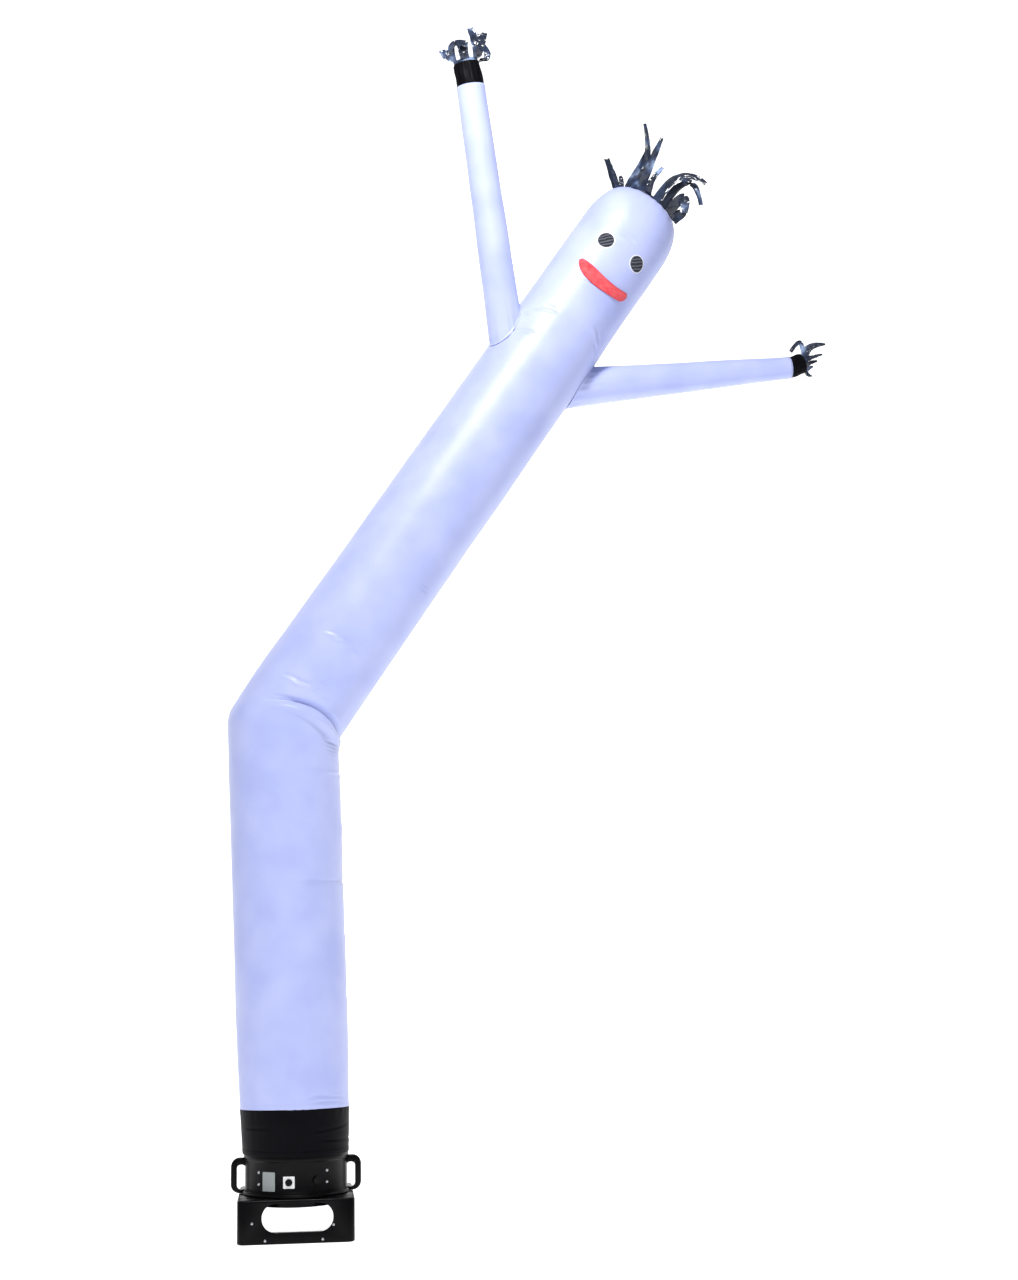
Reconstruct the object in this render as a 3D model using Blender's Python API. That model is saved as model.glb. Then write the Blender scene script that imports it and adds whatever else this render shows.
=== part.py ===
"""Inflatable air dancer standing on its blower.

A white nylon tube bends at a knee fold and ends in a domed crown with a fringe of hair.
Two tapered arms end in black cuffs with cut fingers, and a black sleeve fits over the
collar of a moulded blower. Metres, +Z up, the front faces -Y, and the origin is on the
floor under the middle of the blower's foot.
"""
import math

import bmesh
import bpy
from mathutils import Matrix, Quaternion, Vector

# Fabric
CLOTH = 0.0012
GAP = 0.0003

# Body tube: the middle of its hem, of its knee fold and of the base of its dome
HEM = Vector((-0.007, 0.0, 0.519))
KNEE = Vector((-0.062, 0.0, 2.146))
DOME_BASE = Vector((1.503, 0.330, 4.467))
TUBE_SIDES = 36
HEM_TILT = 0.045
HEM_LEAN = 0.0237
KNEE_RADIUS = 0.239
KNEE_SLANT = math.radians(15.5)
KNEE_DROP = 0.012
KNEE_ROUNDING = 0.05
LOWER_RADII = ((0.0, 0.2295), (0.12, 0.2330), (0.3, 0.2365), (1.0, 0.2400))
LOWER_BLEND = 0.15
UPPER_RADII = ((0.0, 0.2365), (0.25, 0.2305), (0.72, 0.2295), (0.82, 0.2235), (1.0, 0.2215))
UPPER_BLEND = 0.12
DOME_HEIGHT = 0.19
CROWN_OPENING = 0.150
DOME_STEPS = 7
LOWER_STATIONS = (0.0, 0.12, 0.3, 0.5, 0.7, 0.85)
UPPER_STATIONS = (0.12, 0.25, 0.4, 0.56, 0.68, 0.72, 0.77, 0.82, 0.88, 0.94, 1.0)
KNEE_REACH = 0.162
KNEE_ROWS = 19

# Knee fold: a valley with a bulge under it, from the inner side round to the front and back.
# It is weakest on the inner side, whole from FOLD_WHOLE to FOLD_FADE, and gone at FOLD_END.
FOLD_RISE = 0.10
FOLD_RISE_RATE = 1.10
FOLD_DEPTH = 0.016
FOLD_WIDTH = 0.018
BULGE_HEIGHT = 0.013
BULGE_BELOW = 0.042
BULGE_WIDTH = 0.03
FOLD_INNER = 0.35
FOLD_WHOLE = math.radians(40)
FOLD_FADE = math.radians(75)
FOLD_END = math.radians(122)

# Arms: where each leaves the tube, as a length up the upper tube from the knee and a turn
# from the tube's right side towards the back, its half width there, where it ends, and the
# two half widths at that end
ARM_SIDES = 20
ARM_RINGS = 7
ARM_ROOT_REACH = 0.222
ARM_INSIDE = 0.13
ARM_SEAM_INSET = 0.006
ARM_CORE_INSIDE = 0.09
ARM_CORE_RINGS = 4
SEAM_CLEAR = 0.0005
ARMS = (
    # name, root_along, root_turn_deg, root_half, tip, half_across, half_deep
    ("left", 2.082, 210.0, 0.0805, Vector((0.796, -0.002, 5.098)), 0.065, 0.055),
    ("right", 2.096, 20.0, 0.0905, Vector((2.297, 0.4965, 3.884)), 0.0515, 0.050),
)

# Cuffs
CUFF_LAP = 0.012
CUFF_TAPER = 0.94
CUFF_SHARES = (0.35, 0.7, 1.0)
CUFFS = (
    # name, end
    ("left", Vector((0.776, -0.012, 5.203))),
    ("right", Vector((2.362, 0.506, 3.908))),
)

# Fringes: strips stand on the top edge of a narrow ring, each bending through one point to
# its tip, both as offsets from the middle of the ring
FRINGE_WALL = 0.0020
FRINGE_RING = 0.022
FRINGE_LIFT = 0.003
FRINGE_CLEAR = 0.0009
HAIR_LIFT = 0.004
HAIR_CLEAR = 0.0005
STRIP_THICKNESS = 0.0015
STRIP_STEPS = 8
STRIP_SETTLE = 3
HAIR_SEATS = 20
HAND_SEATS = 12
FRONT = Vector((0.0, -1.0, 0.0))
HAIR = (
    # seat, width, tip_width, twist_deg, bend, tip
    (1, 0.036, 0.024, 25, (0.117, 0.03, 0.004), (0.139, 0.04, 0.068)),
    (3, 0.034, 0.022, -30, (0.076, 0.1, 0.069), (0.13, 0.13, 0.157)),
    (5, 0.036, 0.022, 25, (0.021, 0.13, 0.107), (0.028, 0.17, 0.247)),
    (7, 0.032, 0.022, -30, (-0.038, 0.12, 0.104), (0.01, 0.14, 0.204)),
    (9, 0.03, 0.02, 40, (-0.103, 0.07, 0.115), (-0.086, 0.09, 0.164)),
    (10, 0.038, 0.028, 15, (-0.149, -0.03, 0.169), (-0.176, -0.04, 0.248)),
    (11, 0.026, 0.018, -20, (-0.108, -0.05, 0.122), (-0.115, -0.06, 0.151)),
    (12, 0.044, 0.026, 10, (-0.032, -0.13, 0.145), (0.014, -0.15, 0.24)),
    (13, 0.04, 0.014, -10, (0.004, -0.16, 0.171), (-0.001, -0.18, 0.358)),
    (14, 0.042, 0.016, 15, (0.019, -0.2, 0.148), (0.073, -0.24, 0.258)),
    (15, 0.034, 0.014, 0, (0.025, -0.18, 0.073), (0.08, -0.17, 0.143)),
    (16, 0.038, 0.02, 10, (0.158, -0.17, 0.095), (0.277, -0.19, 0.05)),
    (17, 0.04, 0.022, -10, (0.195, -0.13, 0.086), (0.255, -0.15, -0.037)),
    (18, 0.05, 0.036, 10, (0.171, -0.15, -0.001), (0.169, -0.19, -0.091)),
    (19, 0.044, 0.03, -15, (0.169, -0.11, -0.059), (0.124, -0.16, -0.122)),
)
HANDS = {
    # seat, width, tip_width, twist_deg, bend, tip
    "left": (
        (0, 0.04, 0.036, 15, (0.047, 0.02, 0.097), (0.022, 0.03, 0.192)),
        (1, 0.032, 0.026, -30, (0.097, 0.05, 0.057), (0.082, 0.05, 0.109)),
        (3, 0.032, 0.026, 20, (-0.019, 0.06, 0.083), (-0.037, 0.07, 0.138)),
        (6, 0.04, 0.044, -10, (-0.08, -0.02, 0.032), (-0.114, -0.03, 0.027)),
        (7, 0.03, 0.026, 15, (-0.063, -0.06, 0.058), (-0.002, -0.1, 0.051)),
        (9, 0.04, 0.036, -10, (-0.008, -0.065, 0.03), (-0.005, -0.06, 0.077)),
        (11, 0.04, 0.046, 10, (0.064, -0.06, 0.046), (0.079, -0.07, 0.117)),
    ),
    "right": (
        (1, 0.02, 0.008, 0, (0.025, 0.02, -0.051), (0.046, 0.03, -0.055)),
        (4, 0.026, 0.014, 30, (0.026, 0.06, 0.044), (0.06, 0.09, 0.058)),
        (7, 0.022, 0.018, 0, (-0.011, 0.01, 0.105), (-0.053, 0.03, 0.066)),
        (8, 0.044, 0.01, 10, (0.03, -0.05, 0.063), (0.102, -0.05, 0.076)),
        (9, 0.022, 0.01, -15, (0.045, -0.05, 0.016), (0.084, -0.06, 0.022)),
        (10, 0.02, 0.01, 20, (0.038, -0.03, -0.005), (0.065, -0.02, 0.003)),
        (11, 0.026, 0.01, 0, (0.025, 0.0, -0.025), (0.049, 0.01, -0.013)),
    ),
}

# Face patches on the front of the head: turns are from the tube's front towards its right
PATCH = 0.0012
EYE_CLEAR = 0.0005
MOUTH_CLEAR = 0.0011
EYE_DIAMETER = 0.073
EYE_POINTS = 20
EYES = (
    # name, turn_deg, below
    ("eye_left", -5.7, 0.150),
    ("eye_right", 42.3, 0.147),
)
MOUTH = (
    # turn_deg, upper_edge, lower_edge
    (-18.5, 0.295, 0.305),
    (-16.0, 0.287, 0.321),
    (-11.0, 0.288, 0.341),
    (-4.0, 0.293, 0.357),
    (4.0, 0.299, 0.367),
    (12.0, 0.306, 0.372),
    (20.0, 0.310, 0.372),
    (28.0, 0.310, 0.367),
    (36.0, 0.307, 0.361),
    (43.0, 0.300, 0.354),
    (50.0, 0.291, 0.344),
    (55.0, 0.285, 0.331),
    (58.0, 0.293, 0.309),
)

# Sleeve
SLEEVE_BOTTOM = 0.338
SLEEVE_SEAM = 0.0004
SLEEVE_SHIFT = -0.002
SLEEVE_LOW_RADIUS = 0.2225
SLEEVE_HIGH_RADIUS = 0.2292
SLEEVE_SHARES = (0.0, 0.15, 0.6)

# The blower's front, turned a little from the front of the frame
BLOWER_TURN = Matrix.Rotation(math.radians(6.4), 4, "Z")

# Blower foot: a square box with a stadium window in front, a taller opening behind, and a
# notch in its floor that runs out at the back
FOOT_SIZE = 0.478
FOOT_HEIGHT = 0.175
FOOT_WALL = 0.009
FOOT_CORNER = 0.028
WINDOW_CORNER_STEPS = 7
WINDOWS = (
    # side, middle, width, bottom, top, corner
    ("front", 0.006, 0.290, 0.046, 0.160, 0.055),
    ("back", 0.0, 0.320, 0.012, 0.160, 0.065),
)
FLOOR_NOTCH = {"width": 0.320, "start": 0.030, "top": 0.090}
DUCT_RADIUS = 0.175

# Inlet ring under the foot's top plate
INLET_OUTER = 0.192
INLET_INNER = 0.178
INLET_LIP = 0.181
INLET_DEPTH = 0.030

# Blower drum: its profile as heights and outer radii
DRUM_WALL = 0.006
DRUM_SIDES = 48
DRUM_RADIUS = 0.213
DRUM_PROFILE = (
    # height, radius
    (0.1753, 0.2250),
    (0.1850, 0.2250),
    (0.1905, 0.2170),
    (0.2020, DRUM_RADIUS),
    (0.3130, DRUM_RADIUS),
    (0.3210, 0.2185),
    (0.3340, 0.2185),
    (0.3360, 0.2180),
    (0.3900, 0.2180),
)

# Handles: a bowed grip on each side, its ends at the drum
HANDLE_OUT = 0.272
HANDLE_IN = 0.185
HANDLE_LOW = 0.1765
HANDLE_HIGH = 0.320
HANDLE_BAR = 0.025
HANDLE_DEEP = 0.028
HANDLE_CORNER = 0.036
SLOT_LOW = 0.1905
SLOT_HIGH = 0.292
SLOT_CORNER = 0.0165

# Fittings on the drum's front, placed by the length along the front from its middle
SEAT = 0.0004
PLATE_PROUD = 0.0020
PLATE_STEPS = 8
ROUND_POINTS = 16
BLANK_PLATE = {"middle": -0.0945, "height": 0.240, "width": 0.059, "tall": 0.077}
SOCKET_PLATE = {"middle": -0.006, "height": 0.2385, "width": 0.047, "tall": 0.048}
SOCKET_CORE_RADIUS = 0.0145
SOCKET_CORE_PROUD = 0.0030
GLAND_MIDDLE = 0.110
GLAND_HEIGHT = 0.244
GLAND_RADIUS = 0.016
GLAND_PROUD = 0.010

CORNER_STEPS = 5
SMOOTH_PART = 40
SMOOTH_CLOTH = 60
SMOOTH_HOUSING = 35

MATERIALS = {
    # name: colour, roughness, metallic
    "white_nylon": ((0.80, 0.84, 0.97, 1), 0.42, 0.0),
    "black_nylon": ((0.012, 0.012, 0.018, 1), 0.45, 0.0),
    "strip_nylon": ((0.015, 0.022, 0.045, 1), 0.28, 0.0),
    "eye_mesh": ((0.05, 0.05, 0.06, 1), 0.7, 0.0),
    "mouth_red": ((0.86, 0.09, 0.08, 1), 0.5, 0.0),
    "moulded_plastic": ((0.010, 0.010, 0.012, 1), 0.22, 0.0),
    "plate_grey": ((0.60, 0.64, 0.64, 1), 0.4, 0.0),
    "plate_white": ((0.85, 0.85, 0.86, 1), 0.35, 0.0),
}


def clear_scene():
    for obj in list(bpy.data.objects):
        bpy.data.objects.remove(obj, do_unlink=True)


def make_materials():
    made = {}
    for name, (colour, roughness, metallic) in MATERIALS.items():
        material = bpy.data.materials.new(name)
        material.use_nodes = True
        shader = material.node_tree.nodes["Principled BSDF"]
        shader.inputs["Base Color"].default_value = colour
        shader.inputs["Roughness"].default_value = roughness
        shader.inputs["Metallic"].default_value = metallic
        made[name] = material
    return made


def add_object(name, points, faces, material, smooth_angle=SMOOTH_PART):
    mesh = bpy.data.meshes.new(name)
    mesh.from_pydata([tuple(p) for p in points], [], faces)
    mesh.validate()
    mesh.materials.append(material)
    mesh.shade_smooth()
    mesh.set_sharp_from_angle(angle=math.radians(smooth_angle))
    obj = bpy.data.objects.new(name, mesh)
    bpy.context.scene.collection.objects.link(obj)
    return obj


def mark_cutter(obj):
    obj.hide_render = True
    obj.display_type = "WIRE"
    return obj


def cut(obj, cutter):
    change = obj.modifiers.new("cut_" + cutter.name, "BOOLEAN")
    change.operation = "DIFFERENCE"
    change.object = cutter


def thicken(obj, thickness):
    wall = obj.modifiers.new("wall", "SOLIDIFY")
    wall.thickness = thickness
    wall.offset = -1.0
    wall.use_even_offset = True
    wall.use_rim = True


def skin(rings):
    """Points and quads of an open tube through rings of equal length."""
    count = len(rings[0])
    points = [p for ring in rings for p in ring]
    faces = []
    for row in range(len(rings) - 1):
        for i in range(count):
            j = (i + 1) % count
            a, b = row * count, (row + 1) * count
            faces.append((a + i, a + j, b + j, b + i))
    return points, faces


def closed_skin(rings):
    """The same with both ends capped."""
    points, faces = skin(rings)
    count = len(rings[0])
    faces.append(tuple(reversed(range(count))))
    last = len(points) - count
    faces.append(tuple(range(last, last + count)))
    return points, faces


def read_table(rows, at):
    for (x0, y0), (x1, y1) in zip(rows, rows[1:]):
        if at <= x1:
            return y0 + (y1 - y0) * (at - x0) / (x1 - x0)
    return rows[-1][1]


def smooth_step(x):
    x = min(1.0, max(0.0, x))
    return x * x * (3.0 - 2.0 * x)


LOWER_AXIS = (KNEE - HEM).normalized()
UPPER_AXIS = (DOME_BASE - KNEE).normalized()
MITRE = (LOWER_AXIS + UPPER_AXIS).normalized()
LOWER_BACK = Vector((0.0, 1.0, 0.0))
LOWER_RIGHT = LOWER_BACK.cross(LOWER_AXIS)


def mirrored(vector):
    return vector - 2.0 * vector.dot(MITRE) * MITRE


UPPER_RIGHT = mirrored(LOWER_RIGHT)
UPPER_BACK = mirrored(LOWER_BACK)


def lower_radial(turn):
    return LOWER_RIGHT * math.cos(turn) + LOWER_BACK * math.sin(turn)


def upper_radial(turn):
    return UPPER_RIGHT * math.cos(turn) + UPPER_BACK * math.sin(turn)


SIDEWAYS = (UPPER_AXIS - LOWER_AXIS * UPPER_AXIS.dot(LOWER_AXIS)).normalized()
KNEE_PLANE = LOWER_AXIS * math.cos(KNEE_SLANT) + SIDEWAYS * math.sin(KNEE_SLANT)


def knee_point(turn, extra=0.0):
    """Where a lengthwise line of the lower tube meets the slanting plane of the knee."""
    out = lower_radial(turn) * (KNEE_RADIUS + extra)
    rise = out.dot(KNEE_PLANE) / LOWER_AXIS.dot(KNEE_PLANE) + KNEE_DROP
    return KNEE + out - LOWER_AXIS * rise


def off_axis(point):
    """How far a point lies from the upper tube's axis."""
    out = point - KNEE
    return (out - UPPER_AXIS * out.dot(UPPER_AXIS)).length


def fold_height(turn, along):
    """How far the knee fold pushes the cloth out or in, at a length above the knee."""
    around = abs((turn + math.pi) % (2 * math.pi) - math.pi)
    strength = FOLD_INNER + (1 - FOLD_INNER) * smooth_step(around / FOLD_WHOLE)
    strength *= 1.0 - smooth_step((around - FOLD_FADE) / (FOLD_END - FOLD_FADE))
    line = FOLD_RISE * math.sin(FOLD_RISE_RATE * around)
    valley = FOLD_DEPTH * math.exp(-(((along - line) / FOLD_WIDTH) ** 2))
    bulge = BULGE_HEIGHT * math.exp(-(((along - line + BULGE_BELOW) / BULGE_WIDTH) ** 2))
    return strength * (bulge - valley)


def hem_point(turn, radius):
    """A point on the hem, which rises towards the front and a little to the left."""
    out = lower_radial(turn) * radius
    return HEM + out - LOWER_AXIS * (out.y * HEM_TILT + out.x * HEM_LEAN)


def line_point(turn, along, extra=0.0):
    """A point on a lengthwise line of the tube, at a length from the knee, negative below."""
    knee = knee_point(turn, extra)
    if along < 0:
        base = hem_point(turn, LOWER_RADII[0][1] + extra)
        share = 1.0 + along / (knee - base).length
        straight = LOWER_RADII[0][1] + (KNEE_RADIUS - LOWER_RADII[0][1]) * share
        swell = read_table(LOWER_RADII, share) - straight
        swell *= 1 - smooth_step((share - 1 + LOWER_BLEND) / LOWER_BLEND)
        return base + (knee - base) * share + lower_radial(turn) * swell
    top = DOME_BASE + upper_radial(turn) * (UPPER_RADII[-1][1] + extra)
    share = along / (top - knee).length
    straight = off_axis(knee) * (1 - share) + off_axis(top) * share
    swell = read_table(UPPER_RADII, share) + extra - straight
    swell *= smooth_step(share / UPPER_BLEND)
    return knee + (top - knee) * share + upper_radial(turn) * swell


def knee_zone_point(turn, along, extra=0.0):
    """A point near the knee, with the corner rounded and the fold worked in."""
    if abs(along) < KNEE_ROUNDING:
        share = (along + KNEE_ROUNDING) / (2 * KNEE_ROUNDING)
        below = line_point(turn, -KNEE_ROUNDING, extra)
        above = line_point(turn, KNEE_ROUNDING, extra)
        corner = knee_point(turn, extra)
        point = below * (1 - share) ** 2 + corner * 2 * share * (1 - share) + above * share**2
    else:
        share = 0.0 if along < 0 else 1.0
        point = line_point(turn, along, extra)
    radial = (lower_radial(turn) * (1 - share) + upper_radial(turn) * share).normalized()
    return point + radial * fold_height(turn, along)


def tube_turns():
    return [2 * math.pi * i / TUBE_SIDES for i in range(TUBE_SIDES)]


def tube_rings(extra=0.0):
    """The rings of the body tube from the hem to the base of the dome."""
    rings = []
    for station in LOWER_STATIONS:
        ring = []
        for turn in tube_turns():
            base = hem_point(turn, LOWER_RADII[0][1] + extra)
            length = (knee_point(turn, extra) - base).length - KNEE_REACH
            along = -KNEE_REACH - length * (1 - station)
            ring.append(line_point(turn, along, extra))
        rings.append(ring)
    for row in range(KNEE_ROWS):
        along = -KNEE_REACH + 2 * KNEE_REACH * row / (KNEE_ROWS - 1)
        rings.append([knee_zone_point(turn, along, extra) for turn in tube_turns()])
    for station in UPPER_STATIONS:
        ring = []
        for turn in tube_turns():
            top = DOME_BASE + upper_radial(turn) * (UPPER_RADII[-1][1] + extra)
            length = (top - knee_point(turn, extra)).length - KNEE_REACH
            ring.append(line_point(turn, KNEE_REACH + length * station, extra))
        rings.append(ring)
    return rings


def dome_rings():
    """The rings of the crown, from above the dome's base in to the edge of its opening."""
    rings = []
    base = UPPER_RADII[-1][1]
    for step in range(1, DOME_STEPS + 1):
        share = math.pi / 2 * step / DOME_STEPS
        radius = CROWN_OPENING + (base - CROWN_OPENING) * math.cos(share)
        middle = DOME_BASE + UPPER_AXIS * DOME_HEIGHT * math.sin(share)
        rings.append([middle + upper_radial(turn) * radius for turn in tube_turns()])
    return rings


def arm_frame(root, tip):
    axis = (tip - root).normalized()
    side = Vector((0.0, 1.0, 0.0)).cross(axis).normalized()
    return axis, side, axis.cross(side)


def arm_root(root_along, root_turn):
    return KNEE + UPPER_AXIS * root_along + upper_radial(math.radians(root_turn)) * ARM_ROOT_REACH


def oval(middle, side, deep, half_side, half_deep):
    turns = [2 * math.pi * i / ARM_SIDES for i in range(ARM_SIDES)]
    return [middle + side * half_side * math.cos(t) + deep * half_deep * math.sin(t) for t in turns]


def arm_rings(arm, inset=0.0, inward=ARM_INSIDE):
    """The rings of an arm from inside the tube out to its end."""
    _, root_along, root_turn, root_half, tip, half_side, half_deep = arm
    root = arm_root(root_along, root_turn)
    axis, side, deep = arm_frame(root, tip)
    length = (tip - root).length
    rings = []
    for step in range(ARM_RINGS + 1):
        along = -inward + (length + inward) * step / ARM_RINGS
        share = along / length
        a = root_half + (half_side - root_half) * share - inset
        b = root_half + (half_deep - root_half) * share - inset
        rings.append(oval(root + axis * along, side, deep, a, b))
    return rings


def build_body(materials):
    rings = tube_rings() + dome_rings()
    body = add_object("body_tube", *skin(rings), materials["white_nylon"], SMOOTH_CLOTH)
    thicken(body, CLOTH)
    for arm in ARMS:
        rings = arm_rings(arm, inset=CLOTH + ARM_SEAM_INSET, inward=ARM_CORE_INSIDE)[:ARM_CORE_RINGS]
        core = add_object(f"core_{arm[0]}", *closed_skin(rings), materials["white_nylon"])
        cut(body, mark_cutter(core))


def build_arms(materials):
    envelope = tube_rings(extra=SEAM_CLEAR)
    cutter = add_object("tube_envelope", *closed_skin(envelope), materials["white_nylon"])
    mark_cutter(cutter)
    for arm in ARMS:
        name = "arm_" + arm[0]
        obj = add_object(name, *skin(arm_rings(arm)), materials["white_nylon"], SMOOTH_CLOTH)
        thicken(obj, CLOTH)
        cut(obj, cutter)


def cuff_rings(arm, end):
    """The rings of a cuff, from inside the arm's end to its own end, and the last half widths."""
    _, root_along, root_turn, _, tip, half_side, half_deep = arm
    root = arm_root(root_along, root_turn)
    axis, side, deep = arm_frame(root, tip)
    half_side -= CLOTH + 2 * GAP
    half_deep -= CLOTH + 2 * GAP
    rings = [oval(tip - axis * CUFF_LAP, side, deep, half_side, half_deep)]
    rings.append(oval(tip, side, deep, half_side, half_deep))
    _, end_side, end_deep = arm_frame(tip, end)
    for share in CUFF_SHARES:
        size = 1 + (CUFF_TAPER - 1) * share
        turn_side = side.lerp(end_side, share).normalized()
        turn_deep = deep.lerp(end_deep, share).normalized()
        middle = tip.lerp(end, share)
        rings.append(oval(middle, turn_side, turn_deep, half_side * size, half_deep * size))
    return rings, half_side * CUFF_TAPER, half_deep * CUFF_TAPER


def strip_sections(corners, middle, row):
    """The four-sided sections of one strip that grows from four corners of its ring.

    The strip follows a curve through its bend point to its tip, and turns from lying along
    the ring's edge at the root to showing its broad side to the front.
    """
    _, width, tip_width, twist, bend, tip = row
    root = sum(corners, Vector()) / 4
    edge = (corners[1] - corners[0]).normalized()
    bend, tip = middle + Vector(bend), middle + Vector(tip)
    pull = bend * 2 - (root + tip) / 2
    sections = []
    for i in range(1, STRIP_STEPS + 1):
        share = i / STRIP_STEPS
        place = root * (1 - share) ** 2 + pull * 2 * share * (1 - share) + tip * share**2
        way = ((pull - root) * (1 - share) + (tip - pull) * share).normalized()
        settle = smooth_step(i / STRIP_SETTLE)
        facing = way.cross(FRONT).normalized()
        facing = facing if facing.dot(edge) > 0 else -facing
        facing = Quaternion(way, math.radians(twist) * share) @ facing
        wide = edge * (1 - settle) + facing * settle
        wide = (wide - way * wide.dot(way)).normalized()
        thin = way.cross(wide).normalized() * STRIP_THICKNESS / 2
        half = wide * (width + (tip_width - width) * share**2) / 2
        near, far = place - thin, place + thin
        sections.append([near - half, near + half, far + half, far - half])
    return sections


def build_fringe(name, middle, axis, across, half_side, half_deep, seats, rows, material):
    """A narrow ring whose top edge carries the strips, as one closed mesh."""
    deep = axis.cross(across)
    points, faces = [], []
    seated = {row[0]: row for row in rows}
    half_step = math.pi / seats
    for i in range(seats):
        turn = 2 * math.pi * i / seats - half_step
        for wall in (0.0, FRINGE_WALL):
            out = across * (half_side - wall) * math.cos(turn) + deep * (half_deep - wall) * math.sin(turn)
            for lift in (-FRINGE_RING / 2, FRINGE_RING / 2):
                points.append(middle + axis * lift + out)
    for i in range(seats):
        a, b = 4 * i, 4 * ((i + 1) % seats)
        faces.append((a, b, b + 1, a + 1))
        faces.append((b + 2, a + 2, a + 3, b + 3))
        faces.append((b, a, a + 2, b + 2))
        previous = (a + 1, b + 1, b + 3, a + 3)
        if i not in seated:
            faces.append(previous)
            continue
        for section in strip_sections([points[k] for k in previous], middle, seated[i]):
            first = len(points)
            points.extend(section)
            current = (first, first + 1, first + 2, first + 3)
            for k in range(4):
                n = (k + 1) % 4
                faces.append((previous[k], previous[n], current[n], current[k]))
            previous = current
        faces.append(previous)
    return add_object(name, points, faces, material)


def build_hands(materials):
    for arm, (name, end) in zip(ARMS, CUFFS):
        rings, half_side, half_deep = cuff_rings(arm, end)
        cuff = add_object("cuff_" + name, *skin(rings), materials["black_nylon"], SMOOTH_CLOTH)
        thicken(cuff, CLOTH)
        axis, side, _ = arm_frame(arm[4], end)
        room = (CLOTH + 2 * GAP) / math.cos(math.pi / HAND_SEATS) + FRINGE_CLEAR
        sizes = (half_side - room, half_deep - room)
        middle = end + axis * FRINGE_LIFT
        strips = materials["strip_nylon"]
        build_fringe("fingers_" + name, middle, axis, side, *sizes, HAND_SEATS, HANDS[name], strips)


def build_hair(materials):
    middle = DOME_BASE + UPPER_AXIS * (DOME_HEIGHT + HAIR_LIFT)
    radius = CROWN_OPENING * math.cos(math.pi / TUBE_SIDES) - HAIR_CLEAR
    sizes = (radius, radius)
    strips = materials["strip_nylon"]
    build_fringe("hair_fringe", middle, UPPER_AXIS, UPPER_RIGHT, *sizes, HAIR_SEATS, HAIR, strips)


def head_point(turn, below, lift):
    """A point over the head, at a turn from its front and a length below the dome's base."""
    around = turn - math.pi / 2
    radius = read_table(UPPER_RADII, 1 - below / (DOME_BASE - KNEE).length)
    return DOME_BASE - UPPER_AXIS * below + upper_radial(around) * (radius + lift)


def build_patch(name, outline, place, low, high, material):
    """A thin patch between two lifts over a surface, from the (across, up) pairs of its rim.

    The first half of the rim runs along one long side and the second half back along the
    other, so that facing pairs span the patch in strips that follow the surface.
    """
    points = [place(across, up, lift) for lift in (low, high) for across, up in outline]
    count = len(outline)
    faces = []
    for k in range(count // 2 - 1):
        near = (k, k + 1, count - 2 - k, count - 1 - k)
        faces.append(near)
        faces.append(tuple(count + v for v in reversed(near)))
    for k in range(count):
        n = (k + 1) % count
        faces.append((k, count + k, count + n, n))
    obj = add_object(name, points, faces, material)
    bm = bmesh.new()
    bm.from_mesh(obj.data)
    bmesh.ops.recalc_face_normals(bm, faces=bm.faces)
    bm.to_mesh(obj.data)
    bm.free()


def build_face(materials):
    radius = UPPER_RADII[-1][1]
    reach = EYE_DIAMETER / 2
    for name, turn, below in EYES:
        outline = []
        for i in range(EYE_POINTS):
            t = math.pi * (2 * i + 1) / EYE_POINTS + math.pi
            across = math.radians(turn) + math.cos(t) * reach / radius
            outline.append((across, below + math.sin(t) * reach))
        build_patch(name, outline, head_point, EYE_CLEAR, EYE_CLEAR + PATCH, materials["eye_mesh"])
    upper = [(math.radians(turn), edge) for turn, edge, _ in MOUTH]
    lower = [(math.radians(turn), edge) for turn, _, edge in MOUTH]
    outline = upper + lower[::-1]
    build_patch("mouth", outline, head_point, MOUTH_CLEAR, MOUTH_CLEAR + PATCH, materials["mouth_red"])


def build_sleeve(materials):
    """The sleeve runs straight up from its lower edge to just under the tube's hem."""
    rings = []
    top = [hem_point(t, SLEEVE_HIGH_RADIUS) - LOWER_AXIS * SLEEVE_SEAM for t in tube_turns()]
    middle = Vector((SLEEVE_SHIFT, 0.0, SLEEVE_BOTTOM))
    bottom = [middle + lower_radial(t) * SLEEVE_LOW_RADIUS for t in tube_turns()]
    for point in bottom:
        point.z = SLEEVE_BOTTOM
    for share in SLEEVE_SHARES:
        rings.append([low.lerp(high, share) for low, high in zip(bottom, top)])
    rings.append(top)
    sleeve = add_object("base_sleeve", *skin(rings), materials["black_nylon"], SMOOTH_CLOTH)
    thicken(sleeve, CLOTH)


def rounded_rectangle(width, height, corner, steps=CORNER_STEPS):
    """Corner points of a rounded rectangle about the origin, counter-clockwise."""
    points = []
    for i in range(4):
        sign_x = 1 if i in (0, 3) else -1
        sign_y = 1 if i in (0, 1) else -1
        cx, cy = sign_x * (width / 2 - corner), sign_y * (height / 2 - corner)
        for k in range(steps + 1):
            t = math.pi / 2 * (i + k / steps)
            points.append((cx + corner * math.cos(t), cy + corner * math.sin(t)))
    return points


def prism(outline, low, high):
    """Rings for a prism over an outline of (x, y) pairs between two heights."""
    return [[Vector((x, y, z)) for x, y in outline] for z in (low, high)]


def circle(radius):
    turns = [2 * math.pi * i / DRUM_SIDES for i in range(DRUM_SIDES)]
    return [(radius * math.cos(t), radius * math.sin(t)) for t in turns]


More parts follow.
